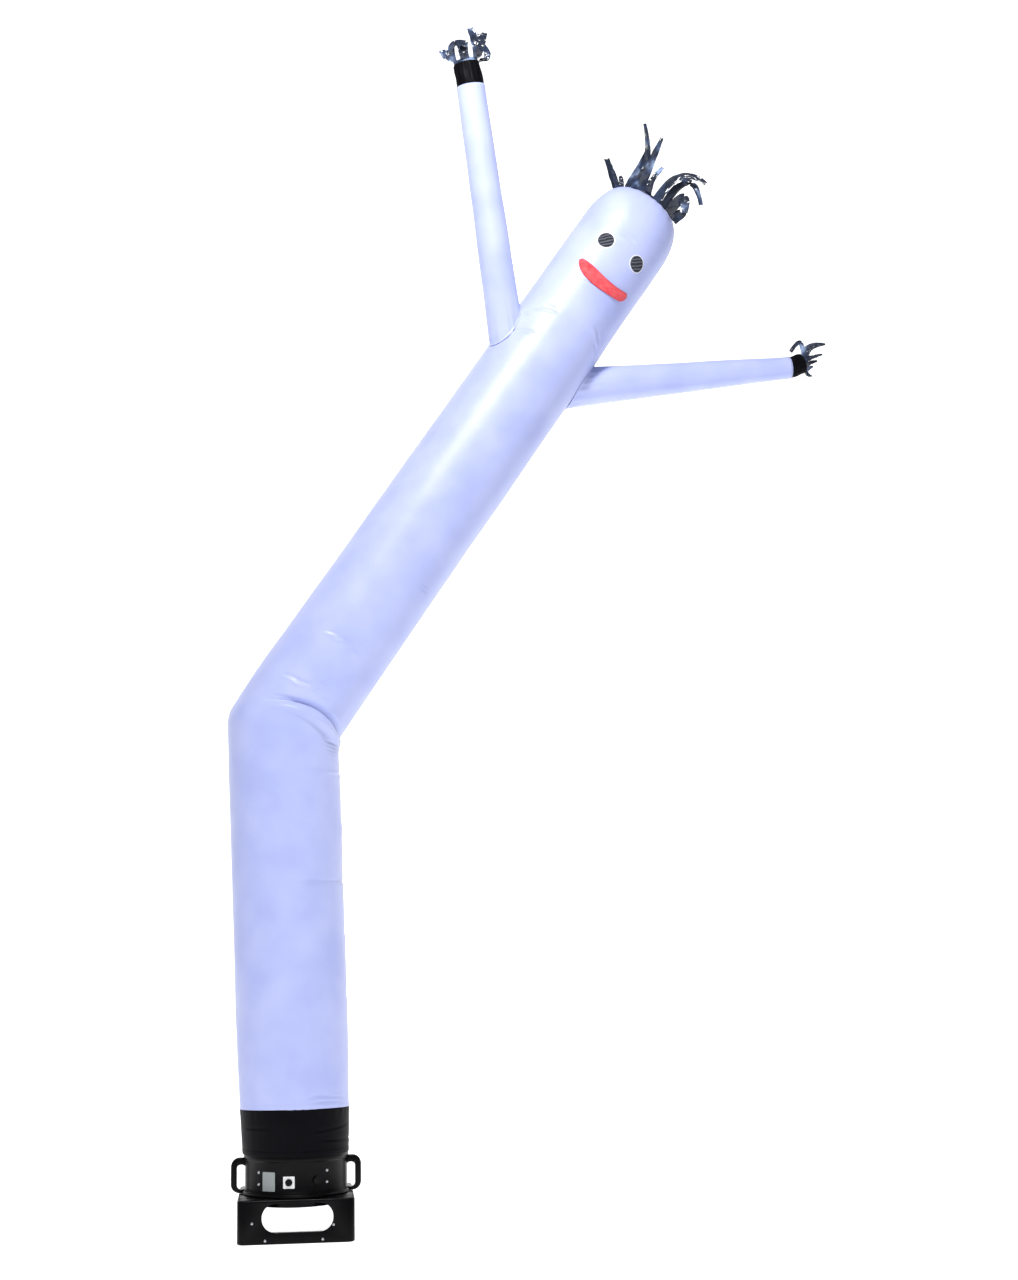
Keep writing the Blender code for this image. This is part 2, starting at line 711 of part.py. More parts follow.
def build_foot(materials):
    black = materials["moulded_plastic"]
    shell = rounded_rectangle(FOOT_SIZE, FOOT_SIZE, FOOT_CORNER)
    foot = add_object("blower_base", *closed_skin(prism(shell, 0.0, FOOT_HEIGHT)), black, SMOOTH_HOUSING)
    foot.data.transform(BLOWER_TURN)
    inner_size = FOOT_SIZE - 2 * FOOT_WALL
    hollow = rounded_rectangle(inner_size, inner_size, FOOT_CORNER - FOOT_WALL)
    cutters = [("foot_hollow", prism(hollow, FOOT_WALL, FOOT_HEIGHT - FOOT_WALL))]
    for side, aside, width, bottom, top, corner in WINDOWS:
        window = rounded_rectangle(width, top - bottom, corner, WINDOW_CORNER_STEPS)
        middle = (bottom + top) / 2
        ends = (0.0, -FOOT_SIZE) if side == "front" else (FOOT_SIZE, 0.0)
        rings = [[Vector((aside + x, y, middle + z)) for x, z in window] for y in ends]
        cutters.append(("foot_window_" + side, rings))
    half, start = FLOOR_NOTCH["width"] / 2, FLOOR_NOTCH["start"]
    notch = [(-half, start), (half, start), (half, FOOT_SIZE), (-half, FOOT_SIZE)]
    cutters.append(("foot_notch", prism(notch, -FLOOR_NOTCH["top"], FLOOR_NOTCH["top"])))
    cutters.append(("foot_duct", prism(circle(DUCT_RADIUS), FOOT_HEIGHT / 2, FOOT_HEIGHT * 2)))
    for name, rings in cutters:
        cutter = mark_cutter(add_object(name, *closed_skin(rings), black))
        cutter.data.transform(BLOWER_TURN)
        cut(foot, cutter)


def turned(name, profile, material):
    """A ring turned from the closed (radius, height) profile of its wall."""
    count = len(profile)
    points, faces = [], []
    for x, y in circle(1.0):
        points.extend(Vector((r * x, r * y, z)) for r, z in profile)
    for i in range(DRUM_SIDES):
        a, b = i * count, (i + 1) % DRUM_SIDES * count
        for k in range(count):
            n = (k + 1) % count
            faces.append((a + k, b + k, b + n, a + n))
    return add_object(name, points, faces, material, SMOOTH_HOUSING)


def build_drum(materials):
    outer = [(radius, height) for height, radius in DRUM_PROFILE]
    inner = [(radius - DRUM_WALL, height) for radius, height in outer]
    turned("blower_drum", outer + inner[::-1], materials["moulded_plastic"])
    top = FOOT_HEIGHT - FOOT_WALL - GAP
    low = top - INLET_DEPTH
    inlet = [(INLET_OUTER, low), (INLET_OUTER, top), (INLET_INNER, top), (INLET_LIP, low)]
    turned("inlet_ring", inlet, materials["moulded_plastic"])


def build_handles(materials):
    width, tall = HANDLE_OUT - HANDLE_IN, HANDLE_HIGH - HANDLE_LOW
    heights = ((HANDLE_HIGH + HANDLE_LOW) / 2, (SLOT_HIGH + SLOT_LOW) / 2)
    black = materials["moulded_plastic"]
    rings = [[Vector((x, y, height)) for x, y in circle(radius + GAP)] for height, radius in DRUM_PROFILE]
    envelope = mark_cutter(add_object("drum_envelope", *closed_skin(rings), black))
    for name, side in (("handle_left", -1), ("handle_right", 1)):
        middle_x = side * (HANDLE_OUT + HANDLE_IN) / 2
        outer = rounded_rectangle(width, tall, HANDLE_CORNER)
        inner = rounded_rectangle(width - 2 * HANDLE_BAR, SLOT_HIGH - SLOT_LOW, SLOT_CORNER)
        points, faces = [], []
        for outline, middle_z in zip((outer, inner), heights):
            for y in (-HANDLE_DEEP / 2, HANDLE_DEEP / 2):
                points.extend(Vector((middle_x + x, y, middle_z + z)) for x, z in outline)
        count = len(outer)
        for k in range(count):
            n = (k + 1) % count
            front, back, in_front, in_back = k, count + k, 2 * count + k, 3 * count + k
            front_n, back_n, in_front_n, in_back_n = n, count + n, 2 * count + n, 3 * count + n
            faces.append((front_n, front, back, back_n))
            faces.append((in_front, in_front_n, in_back_n, in_back))
            faces.append((front, front_n, in_front_n, in_front))
            faces.append((back, in_back, in_back_n, back_n))
        handle = add_object(name, points, faces, black)
        handle.data.transform(BLOWER_TURN)
        cut(handle, envelope)


def drum_point(across, height, lift):
    """A point over the drum's round front, at a length along the front from its middle."""
    radius = DRUM_RADIUS + lift
    turn = across / DRUM_RADIUS
    return Vector((math.sin(turn) * radius, -math.cos(turn) * radius, height))


def plate_rim(size):
    """The rim of an oblong plate, as build_patch reads it."""
    sides = [size["middle"] + size["width"] * (k / PLATE_STEPS - 0.5) for k in range(PLATE_STEPS + 1)]
    top = [(across, size["height"] + size["tall"] / 2) for across in sides]
    return top + [(across, size["height"] - size["tall"] / 2) for across in reversed(sides)]


def round_rim(across, height, radius):
    """The rim of a round fitting, as build_patch reads it."""
    turns = [math.pi * (2 * k + 1) / ROUND_POINTS for k in range(ROUND_POINTS)]
    return [(across - radius * math.cos(t), height + radius * math.sin(t)) for t in turns]


def build_fittings(materials):
    seat, top = SEAT, SEAT + PLATE_PROUD
    build_patch("blank_plate", plate_rim(BLANK_PLATE), drum_point, seat, top, materials["plate_grey"])
    build_patch("socket_plate", plate_rim(SOCKET_PLATE), drum_point, seat, top, materials["plate_white"])
    black = materials["moulded_plastic"]
    core = round_rim(SOCKET_PLATE["middle"], SOCKET_PLATE["height"], SOCKET_CORE_RADIUS)
    build_patch("socket_core", core, drum_point, top + SEAT, top + SEAT + SOCKET_CORE_PROUD, black)
    gland = round_rim(GLAND_MIDDLE, GLAND_HEIGHT, GLAND_RADIUS)
    build_patch("round_gland", gland, drum_point, seat, seat + GLAND_PROUD, black)


clear_scene()
MADE = make_materials()
build_body(MADE)
build_arms(MADE)
build_hands(MADE)
build_hair(MADE)
build_face(MADE)
build_sleeve(MADE)
build_foot(MADE)
build_drum(MADE)
build_handles(MADE)
build_fittings(MADE)
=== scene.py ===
"""The looks of the inflatable air dancer on its blower.

The tube, arms, cuffs, sleeve, strips and patches are modelled as fine cloth on the forms of
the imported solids, and the blower with its rims, ridges, screws and plates. Metres, +Z up,
and the front faces -Y.
"""
import math

import bpy
import bmesh
import numpy as np
from mathutils import Matrix, Quaternion, Vector, noise


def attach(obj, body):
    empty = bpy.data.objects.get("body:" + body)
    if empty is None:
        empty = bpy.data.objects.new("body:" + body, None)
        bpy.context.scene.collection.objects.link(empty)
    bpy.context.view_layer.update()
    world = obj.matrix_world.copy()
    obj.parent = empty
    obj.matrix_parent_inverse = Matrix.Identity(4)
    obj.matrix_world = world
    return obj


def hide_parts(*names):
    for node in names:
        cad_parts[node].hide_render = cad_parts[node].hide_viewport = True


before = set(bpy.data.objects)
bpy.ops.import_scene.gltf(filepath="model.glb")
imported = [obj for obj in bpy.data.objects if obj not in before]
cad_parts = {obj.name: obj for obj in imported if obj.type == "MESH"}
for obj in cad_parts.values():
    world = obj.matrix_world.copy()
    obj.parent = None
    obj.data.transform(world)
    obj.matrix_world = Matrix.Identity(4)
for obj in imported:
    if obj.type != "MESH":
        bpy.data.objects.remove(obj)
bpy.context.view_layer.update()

# Camera: the photograph's place and aim
CAMERA_PLACE = Vector((0.90, -8.0, 1.24))
CAMERA_PITCH = math.radians(8.9976)
CAMERA_YAW = math.radians(0.2247)
CAMERA_ROLL = math.radians(0.92)
CAMERA_LENS = 51.75
CAMERA_SENSOR = 36.0

# The body tube's driving sizes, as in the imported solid
CLOTH = 0.0012
HEM = np.array((-0.007, 0.0, 0.519))
KNEE = np.array((-0.062, 0.0, 2.146))
DOME_BASE = np.array((1.503, 0.330, 4.467))
HEM_TILT = 0.045
HEM_LEAN = 0.0237
KNEE_RADIUS = 0.239
KNEE_SLANT = math.radians(15.5)
KNEE_DROP = 0.012
KNEE_ROUNDING = 0.05
KNEE_REACH = 0.162
LOWER_RADII = ((0.0, 0.2295), (0.12, 0.2330), (0.3, 0.2365), (1.0, 0.2400))
LOWER_BLEND = 0.15
UPPER_RADII = ((0.0, 0.2365), (0.25, 0.2305), (0.72, 0.2295), (0.82, 0.2235), (1.0, 0.2215))
UPPER_BLEND = 0.12
DOME_HEIGHT = 0.19
CROWN_OPENING = 0.150
FOLD_RISE = 0.10
FOLD_RISE_RATE = 1.10
FOLD_DEPTH = 0.022
FOLD_WIDTH = 0.013
BULGE_HEIGHT = 0.021
BULGE_BELOW = 0.036
BULGE_WIDTH = 0.022
FOLD_INNER = 0.15
FOLD_WHOLE = math.radians(40)
FOLD_FADE = math.radians(75)
FOLD_END = math.radians(122)

# Body mesh
BODY_COLUMNS = 100
KNEE_ROW = 0.0042
LOWER_ROW = 0.026
UPPER_ROW = 0.030
DOME_ROWS = 22
DENSE_ROW = 0.0042

# Packing folds round the lower tube: they show most on its right, front and back
FOLDS = (
    # height, rise, turn_from, turn_to, depth, width
    (1.925, 0.010, -90, 25, 0.0020, 0.0055),
    (1.703, 0.010, -90, 40, 0.0042, 0.0060),
    (1.676, 0.008, -86, 20, 0.0018, 0.0055),
    (1.461, 0.002, -84, 25, 0.0030, 0.0060),
    (1.238, 0.004, -86, 40, 0.0040, 0.0060),
    (1.215, 0.002, -86, -30, 0.0020, 0.0055),
    (0.996, 0.000, -82, 20, 0.0018, 0.0070),
    (0.780, 0.000, -84, -20, 0.0018, 0.0055),
    (0.764, 0.000, -84, -30, 0.0015, 0.0055),
)
FOLD_BACK_SHARE = 0.6
FOLD_BACK = (50, 168)

# Creases, each from one turn and length above the knee to another
CREASES = (
    # turn_from, along_from, turn_to, along_to, depth, width
    (-116, 0.205, -92, 0.182, 0.0022, 0.0055),
    (-100, 0.188, -62, 0.152, 0.0036, 0.0060),
    (-84, 0.190, -60, 0.168, 0.0022, 0.0050),
    (-78, 0.205, -58, 0.182, 0.0020, 0.0050),
    (-76, 0.150, -52, 0.128, 0.0018, 0.0050),
    (-100, 0.445, -84, 0.425, 0.0018, 0.0050),
    (-88, 0.430, -60, 0.392, 0.0030, 0.0055),
    (-80, 0.405, -54, 0.372, 0.0026, 0.0055),
    (-74, 0.440, -58, 0.420, 0.0014, 0.0050),
    (-112, 0.090, -84, 0.098, 0.0020, 0.0050),
    (-104, 0.074, -80, 0.084, 0.0016, 0.0045),
    (-38, -0.052, -8, -0.046, 0.0024, 0.0050),
    (-38, -0.070, -6, -0.062, 0.0028, 0.0050),
    (-36, -0.088, -8, -0.080, 0.0024, 0.0050),
    (-36, -0.106, -12, -0.100, 0.0018, 0.0050),
    (-46, 0.780, -28, 0.766, 0.0014, 0.0050),
    (-40, 0.756, -24, 0.748, 0.0012, 0.0050),
    (-132, 2.252, -114, 2.250, 0.0024, 0.0050),
    (-122, 2.274, -92, 2.262, 0.0034, 0.0055),
    (-114, 2.288, -98, 2.276, 0.0024, 0.0050),
    (-134, 2.226, -124, 2.222, 0.0030, 0.0055),
    (-138, 2.132, -98, 2.128, 0.0026, 0.0055),
    (-132, 2.112, -104, 2.108, 0.0028, 0.0055),
    (-138, 2.094, -118, 2.088, 0.0016, 0.0050),
    (-44, 2.295, -32, 2.220, 0.0020, 0.0060),
    (-48, 2.255, -22, 2.180, 0.0026, 0.0065),
    (-38, 2.270, -18, 2.200, 0.0018, 0.0060),
    (-30, 2.180, -14, 2.120, 0.0022, 0.0065),
    (-88, 2.452, -72, 2.440, 0.0014, 0.0050),
    (-84, 2.735, -64, 2.712, 0.0020, 0.0055),
    (-76, 2.748, -58, 2.728, 0.0014, 0.0050),
    (20, 0.230, 64, 0.205, 0.0026, 0.0060),
    (60, 0.330, 104, 0.350, 0.0026, 0.0060),
    (72, 0.300, 96, 0.318, 0.0018, 0.0050),
    (96, 2.180, 140, 2.200, 0.0024, 0.0060),
    (48, 2.280, 92, 2.250, 0.0022, 0.0060),
)
HEM_FAN = (
    # turn_from, height_from, turn_to, height_to, depth, width
    (-80, 0.556, -14, 0.546, 0.0016, 0.0045),
    (-72, 0.582, -12, 0.560, 0.0022, 0.0050),
    (-76, 0.566, -44, 0.572, 0.0016, 0.0045),
    (-50, 0.592, -8, 0.572, 0.0014, 0.0045),
    (40, 0.560, 110, 0.570, 0.0018, 0.0050),
    (130, 0.575, 176, 0.560, 0.0016, 0.0050),
)
HEM_LEVELS = [0.545, 0.565, 0.585]
CREASE_RIDGE = 0.8
CREASE_DEEPEN = 1.9
CREASE_WIDEN = 1.45
CREASE_LIP = 1.6

# Arms: where each leaves the tube, and the half widths at its two ends
ARM_COLUMNS = 72
ARM_ROWS = 120
ARM_ROOT_REACH = 0.222
ARMS = {
    # name: root_along, root_turn_deg, root_half, tip, half_across, half_deep
    "left": (2.082, 210.0, 0.0805, (0.796, -0.002, 5.098), 0.065, 0.055),
    "right": (2.096, 20.0, 0.0905, (2.297, 0.4965, 3.884), 0.0515, 0.050),
}
ARM_PLEATS = 17
ARM_PLEAT_DEPTH = 0.0030
ARM_PLEAT_FADE = 0.055
ARM_HEM = 0.016
ARM_CREASES = (
    # at, middle, spread, depth
    (0.16, 0.4, 1.0, 0.0018),
    (0.22, 0.1, 0.8, 0.0016),
    (0.30, 2.6, 0.9, 0.0014),
)
CUFF_LAP = 0.012
CUFF_TAPER = 0.94
CUFF_ENDS = {"left": (0.776, -0.012, 5.203), "right": (2.362, 0.506, 3.908)}
CUFF_COLUMNS = 72
CUFF_ROWS = 44

# Fringes
FRINGE_WALL = 0.0020
FRINGE_RING = 0.022
FRINGE_LIFT = 0.003
FRINGE_CLEAR = 0.0009
HAIR_LIFT = 0.004
HAIR_CLEAR = 0.0005
HAIR_SEATS = 20
HAND_SEATS = 12
STRIP_STEPS = 30
STRIP_ACROSS = 6
STRIP_SETTLE = 0.36
STRIP_CLOTH = 0.0007
STRIP_CRUMPLE = 0.0032
STRIP_CUP = 0.13
FRONT = np.array((0.0, -1.0, 0.0))
HAIR = (
    # seat, width, tip_width, twist_deg, bend, tip
    (1, 0.036, 0.024, 25, (0.117, 0.03, 0.004), (0.139, 0.04, 0.068)),
    (3, 0.034, 0.022, -30, (0.076, 0.1, 0.069), (0.13, 0.13, 0.157)),
    (5, 0.036, 0.022, 25, (0.021, 0.13, 0.107), (0.028, 0.17, 0.247)),
    (7, 0.032, 0.022, -30, (-0.038, 0.12, 0.104), (0.01, 0.14, 0.204)),
    (9, 0.03, 0.02, 40, (-0.103, 0.07, 0.115), (-0.086, 0.09, 0.164)),
    (10, 0.038, 0.028, 15, (-0.149, -0.03, 0.169), (-0.176, -0.04, 0.248)),
    (11, 0.026, 0.018, -20, (-0.108, -0.05, 0.122), (-0.115, -0.06, 0.151)),
    (12, 0.044, 0.026, 10, (-0.032, -0.13, 0.145), (0.014, -0.15, 0.24)),
    (13, 0.04, 0.014, -10, (0.004, -0.16, 0.171), (-0.001, -0.18, 0.358)),
    (14, 0.042, 0.016, 15, (0.019, -0.2, 0.148), (0.073, -0.24, 0.258)),
    (15, 0.034, 0.014, 0, (0.025, -0.18, 0.073), (0.08, -0.17, 0.143)),
    (16, 0.038, 0.02, 10, (0.158, -0.17, 0.095), (0.277, -0.19, 0.05)),
    (17, 0.04, 0.022, -10, (0.195, -0.13, 0.086), (0.255, -0.15, -0.037)),
    (18, 0.05, 0.036, 10, (0.171, -0.15, -0.001), (0.169, -0.19, -0.091)),
    (19, 0.044, 0.03, -15, (0.169, -0.11, -0.059), (0.124, -0.16, -0.122)),
)
HANDS = {
    # seat, width, tip_width, twist_deg, bend, tip
    "left": (
        (0, 0.04, 0.036, 15, (0.047, 0.02, 0.097), (0.022, 0.03, 0.192)),
        (1, 0.032, 0.026, -30, (0.097, 0.05, 0.057), (0.082, 0.05, 0.109)),
        (3, 0.032, 0.026, 20, (-0.019, 0.06, 0.083), (-0.037, 0.07, 0.138)),
        (6, 0.04, 0.044, -10, (-0.08, -0.02, 0.032), (-0.114, -0.03, 0.027)),
        (7, 0.03, 0.026, 15, (-0.063, -0.06, 0.058), (-0.002, -0.1, 0.051)),
        (9, 0.04, 0.036, -10, (-0.008, -0.065, 0.03), (-0.005, -0.06, 0.077)),
        (11, 0.04, 0.046, 10, (0.064, -0.06, 0.046), (0.079, -0.07, 0.117)),
    ),
    "right": (
        (1, 0.02, 0.008, 0, (0.025, 0.02, -0.051), (0.046, 0.03, -0.055)),
        (4, 0.026, 0.014, 30, (0.026, 0.06, 0.044), (0.06, 0.09, 0.058)),
        (7, 0.022, 0.018, 0, (-0.011, 0.01, 0.105), (-0.053, 0.03, 0.066)),
        (8, 0.044, 0.01, 10, (0.03, -0.05, 0.063), (0.102, -0.05, 0.076)),
        (9, 0.022, 0.01, -15, (0.045, -0.05, 0.016), (0.084, -0.06, 0.022)),
        (10, 0.02, 0.01, 20, (0.038, -0.03, -0.005), (0.065, -0.02, 0.003)),
        (11, 0.026, 0.01, 0, (0.025, 0.0, -0.025), (0.049, 0.01, -0.013)),
    ),
}

# Face
PATCH = 0.0012
EYE_CLEAR = 0.0005
MOUTH_CLEAR = 0.0011
EYE_DIAMETER = 0.073
EYES = (
    # name, turn_deg, below
    ("eye_left", -5.7, 0.150),
    ("eye_right", 42.3, 0.147),
)
MOUTH = (
    # turn_deg, upper_edge, lower_edge
    (-18.5, 0.295, 0.305),
    (-16.0, 0.287, 0.321),
    (-11.0, 0.288, 0.341),
    (-4.0, 0.293, 0.357),
    (4.0, 0.299, 0.367),
    (12.0, 0.306, 0.372),
    (20.0, 0.310, 0.372),
    (28.0, 0.310, 0.367),
    (36.0, 0.307, 0.361),
    (43.0, 0.300, 0.354),
    (50.0, 0.291, 0.344),
    (55.0, 0.285, 0.331),
    (58.0, 0.293, 0.309),
)

# Sleeve
SLEEVE_BOTTOM = 0.338
SLEEVE_SEAM = 0.0004
SLEEVE_SHIFT = -0.002
SLEEVE_LOW_RADIUS = 0.2225
SLEEVE_HIGH_RADIUS = 0.2292
SLEEVE_CREASES = (
    # level, tilt, turn_from, turn_to, depth
    (0.105, 0.02, -70, -5, 0.0018),
    (0.062, -0.01, -60, 20, 0.0020),
    (0.128, 0.01, -150, -110, 0.0012),
    (0.085, 0.015, 60, 150, 0.0020),
)
SLEEVE_COLUMNS = 120
SLEEVE_ROWS = 60

# Blower, its front turned a little from the front of the frame
BLOWER_TURN = Matrix.Rotation(math.radians(6.4), 4, "Z")
FOOT_SIZE = 0.478
FOOT_HEIGHT = 0.175
FOOT_WALL = 0.009
FOOT_CORNER = 0.028
WINDOWS = (
    # side, middle, width, bottom, top, corner
    ("front", 0.006, 0.290, 0.046, 0.160, 0.055),
    ("back", 0.0, 0.320, 0.012, 0.160, 0.065),
)
FLOOR_NOTCH = {"width": 0.320, "start": 0.030, "top": 0.090}
DUCT_RADIUS = 0.175
DRUM_WALL = 0.006
DRUM_RADIUS = 0.213
DRUM_COLUMNS = 144
HANDLE_OUT = 0.272
HANDLE_LOW = 0.1765
HANDLE_HIGH = 0.320
HANDLE_BAR = 0.025
HANDLE_DEEP = 0.028
HANDLE_CORNER = 0.036
HANDLE_IN = 0.185
HANDLE_EDGE = 0.006
HANDLE_SLOT = (0.1905, 0.292)
SLOT_CORNER = 0.0165
SEAT = 0.0004
PLATE_TOP = 0.0024
PLATES = {
    # middle, height, width, tall
    "blank_plate": (-0.0945, 0.240, 0.059, 0.077),
    "socket_plate": (-0.006, 0.2385, 0.047, 0.048),
}
DRUM_OUTLINE = (
    # radius, height
    (0.2215, 0.1753),
    (0.2240, 0.1760),
    (0.2250, 0.1775),
    (0.2250, 0.1830),
    (0.2240, 0.1848),
    (0.2190, 0.1868),
    (0.2175, 0.1880),
    (0.2168, 0.1905),
    (0.2160, 0.1960),
    (0.2140, 0.1985),
    (0.2130, 0.2020),
    (0.2130, 0.3100),
    (0.2138, 0.3140),
    (0.2160, 0.3175),
    (0.2180, 0.3195),
    (0.2187, 0.3230),
    (0.2187, 0.3310),
    (0.2183, 0.3340),
    (0.2180, 0.3360),
    (0.2180, 0.3900),
)

# Colours, as linear values
# The white nylon's colour is tinted blue as painted sky-blue shade, its lit parts clipping to white; its
# second colour is a darker painted shade tone, laid in cloudy patches.
WHITE_NYLON = (0.475, 0.53, 0.87, 1)
WHITE_NYLON_PAINTED_SHADE = (0.41, 0.465, 0.83, 1)
BLACK_NYLON = (0.0022, 0.0022, 0.0036, 1)
STRIP_NYLON = (0.010, 0.016, 0.035, 1)
# Pale blue of the strips' painted sky reflections.
STRIP_PAINTED_REFLECTION = (0.30, 0.40, 0.62, 1)
EYE_DARK = (0.020, 0.022, 0.032, 1)
EYE_LIGHT = (0.12, 0.13, 0.16, 1)
MOUTH_RED = (0.80, 0.045, 0.065, 1)
MOUTH_DEEP = (0.62, 0.020, 0.030, 1)
HALO = (0.80, 0.84, 0.95, 1)
BLACK_NYLON_DEEP = (0.0034, 0.0034, 0.0050, 1)
BLACK_PLASTIC = (0.0020, 0.0020, 0.0026, 1)
PLATE_GREY = (0.30, 0.33, 0.33, 1)
PLATE_WHITE = (0.78, 0.78, 0.79, 1)
SCREW_METAL = (0.42, 0.42, 0.45, 1)


def unit(v):
    return v / np.linalg.norm(v, axis=-1, keepdims=True)


def dot(a, b):
    return (a * b).sum(axis=-1, keepdims=True)


def smooth_step(x):
    x = np.clip(x, 0.0, 1.0)
    return x * x * (3.0 - 2.0 * x)


def read_table(rows, at):
    return np.interp(at, [x for x, _ in rows], [y for _, y in rows])


LOWER_AXIS = unit(KNEE - HEM)
UPPER_AXIS = unit(DOME_BASE - KNEE)
MITRE = unit(LOWER_AXIS + UPPER_AXIS)
LOWER_BACK = np.array((0.0, 1.0, 0.0))
LOWER_RIGHT = np.cross(LOWER_BACK, LOWER_AXIS)
UPPER_RIGHT = LOWER_RIGHT - 2.0 * np.dot(LOWER_RIGHT, MITRE) * MITRE
UPPER_BACK = LOWER_BACK - 2.0 * np.dot(LOWER_BACK, MITRE) * MITRE
UPPER_LENGTH = float(np.linalg.norm(DOME_BASE - KNEE))


def lower_radial(turn):
    return LOWER_RIGHT * np.cos(turn)[..., None] + LOWER_BACK * np.sin(turn)[..., None]


def upper_radial(turn):
    return UPPER_RIGHT * np.cos(turn)[..., None] + UPPER_BACK * np.sin(turn)[..., None]


SIDEWAYS = unit(UPPER_AXIS - LOWER_AXIS * np.dot(UPPER_AXIS, LOWER_AXIS))
KNEE_PLANE = LOWER_AXIS * math.cos(KNEE_SLANT) + SIDEWAYS * math.sin(KNEE_SLANT)


def knee_point(turn):
    """Where lengthwise lines of the lower tube meet the slanting plane of the knee."""
    out = lower_radial(turn) * KNEE_RADIUS
    return KNEE + out - LOWER_AXIS * (dot(out, KNEE_PLANE) / np.dot(LOWER_AXIS, KNEE_PLANE) + KNEE_DROP)


def off_axis(points):
    """How far points lie from the upper tube's axis."""
    out = points - KNEE
    return np.linalg.norm(out - UPPER_AXIS * dot(out, UPPER_AXIS), axis=-1)


def hem_point(turn, radius):
    """Points on the hem, which rises towards the front and a little to the left."""
    out = lower_radial(turn) * radius
    return HEM + out - LOWER_AXIS * (out[..., 1:2] * HEM_TILT + out[..., 0:1] * HEM_LEAN)


def fold_height(turn, along):
    """How far the knee fold pushes the cloth out or in, at a length above the knee."""
    around = np.abs((turn + math.pi) % (2 * math.pi) - math.pi)
    strength = FOLD_INNER + (1 - FOLD_INNER) * smooth_step(around / FOLD_WHOLE)
    strength = strength * (1.0 - smooth_step((around - FOLD_FADE) / (FOLD_END - FOLD_FADE)))
    line = FOLD_RISE * np.sin(FOLD_RISE_RATE * around)
    valley = FOLD_DEPTH * np.exp(-(((along - line) / FOLD_WIDTH) ** 2))
    bulge = BULGE_HEIGHT * np.exp(-(((along - line + BULGE_BELOW) / BULGE_WIDTH) ** 2))
    return strength * (bulge - valley)


def line_point(turn, along):
    """Points on lengthwise lines of the tube, at lengths from the knee, negative below."""
    knee = knee_point(turn)
    base = hem_point(turn, LOWER_RADII[0][1])
    share = 1.0 + along / np.linalg.norm(knee - base, axis=-1)
    swell = read_table(LOWER_RADII, share) - (LOWER_RADII[0][1] + (KNEE_RADIUS - LOWER_RADII[0][1]) * share)
    swell = swell * (1 - smooth_step((share - 1 + LOWER_BLEND) / LOWER_BLEND))
    lower = base + (knee - base) * share[..., None] + lower_radial(turn) * swell[..., None]
    top = DOME_BASE + upper_radial(turn) * UPPER_RADII[-1][1]
    share = along / np.linalg.norm(top - knee, axis=-1)
    swell = read_table(UPPER_RADII, share) - off_axis(knee) * (1 - share) - off_axis(top) * share
    swell = swell * smooth_step(share / UPPER_BLEND)
    upper = knee + (top - knee) * share[..., None] + upper_radial(turn) * swell[..., None]
    return np.where(along[..., None] < 0, lower, upper)


def tube_place(turn, along):
    """The undented tube: its points and the outward direction at each."""
    share = np.clip((along + KNEE_ROUNDING) / (2 * KNEE_ROUNDING), 0.0, 1.0)
    s = share[..., None]
    near = np.abs(along) < KNEE_ROUNDING
    below = line_point(turn, np.full_like(along, -KNEE_ROUNDING))
    above = line_point(turn, np.full_like(along, KNEE_ROUNDING))
    corner = below * (1 - s) ** 2 + knee_point(turn) * 2 * s * (1 - s) + above * s**2
    points = np.where(near[..., None], corner, line_point(turn, along))
    return points, unit(lower_radial(turn) * (1 - s) + upper_radial(turn) * s)


def crease_profile(across, width):
    """A valley with a narrow ridge on its lower side."""
    return CREASE_RIDGE * np.exp(-((across / width + CREASE_LIP) ** 2)) - np.exp(-((across / width) ** 2))


def turn_window(turn, start, end, soft=0.22):
    """One between two turns in degrees, and soft at both ends."""
    middle, half = math.radians(start + end) / 2, math.radians(end - start) / 2
    off = np.abs((turn - middle + math.pi) % (2 * math.pi) - math.pi)
    return smooth_step((half - off) / (half * 2 * soft))


def folds_relief(turn, height):
    total = np.zeros_like(turn)
    for level, rise, start, end, depth, width in FOLDS:
        share = (np.degrees(turn) - start) / (end - start)
        wobble = 0.0016 * np.sin(turn * 7.0 + level * 40.0)
        across = height - level - rise * np.clip(share, 0, 1) - wobble
        seen = turn_window(turn, start, end) + FOLD_BACK_SHARE * turn_window(turn, *FOLD_BACK)
        total += depth * CREASE_DEEPEN * seen * crease_profile(across, width * CREASE_WIDEN)
    return total


def creases_relief(turn, along, table):
    """The creases of a table, each a straight run over the opened-out cloth."""
    total = np.zeros_like(turn)
    for start, low, end, high, depth, width in table:
        first = math.radians(start)
        x = ((turn - first + math.pi) % (2 * math.pi) - math.pi) * KNEE_RADIUS
        run = math.radians(end - start) * KNEE_RADIUS
        length = math.hypot(run, high - low)
        u = (x * run + (along - low) * (high - low)) / length**2
        across = ((along - low) * run - x * (high - low)) / length
        bow = 0.004 * np.sin(np.clip(u, 0, 1) * math.pi)
        window = smooth_step(u / 0.25) * smooth_step((1 - u) / 0.25)
        total += depth * CREASE_DEEPEN * window * crease_profile(across - bow, width * CREASE_WIDEN)
    return total


def soft_noise(points, size, seed):
    """Smooth noise from -1 to 1 at each point."""
    flat = points.reshape(-1, 3) / size + seed
    values = [noise.noise(Vector(p)) for p in flat]
    return np.array(values).reshape(points.shape[:-1])


def dense_values(low, high, step, centres, reach, fine):
    """Values from low to high, spaced by step, and by fine near the centres."""
    values = [low]
    while values[-1] < high:
        near = any(abs(values[-1] + fine - c) < reach for c in centres)
        values.append(values[-1] + (fine if near else step))
        if not near:
            ahead = [c - reach for c in centres if values[-2] < c - reach < values[-1]]
            if ahead:
                values[-1] = min(ahead) + fine / 2
    values[-1] = high
    return np.array(values)


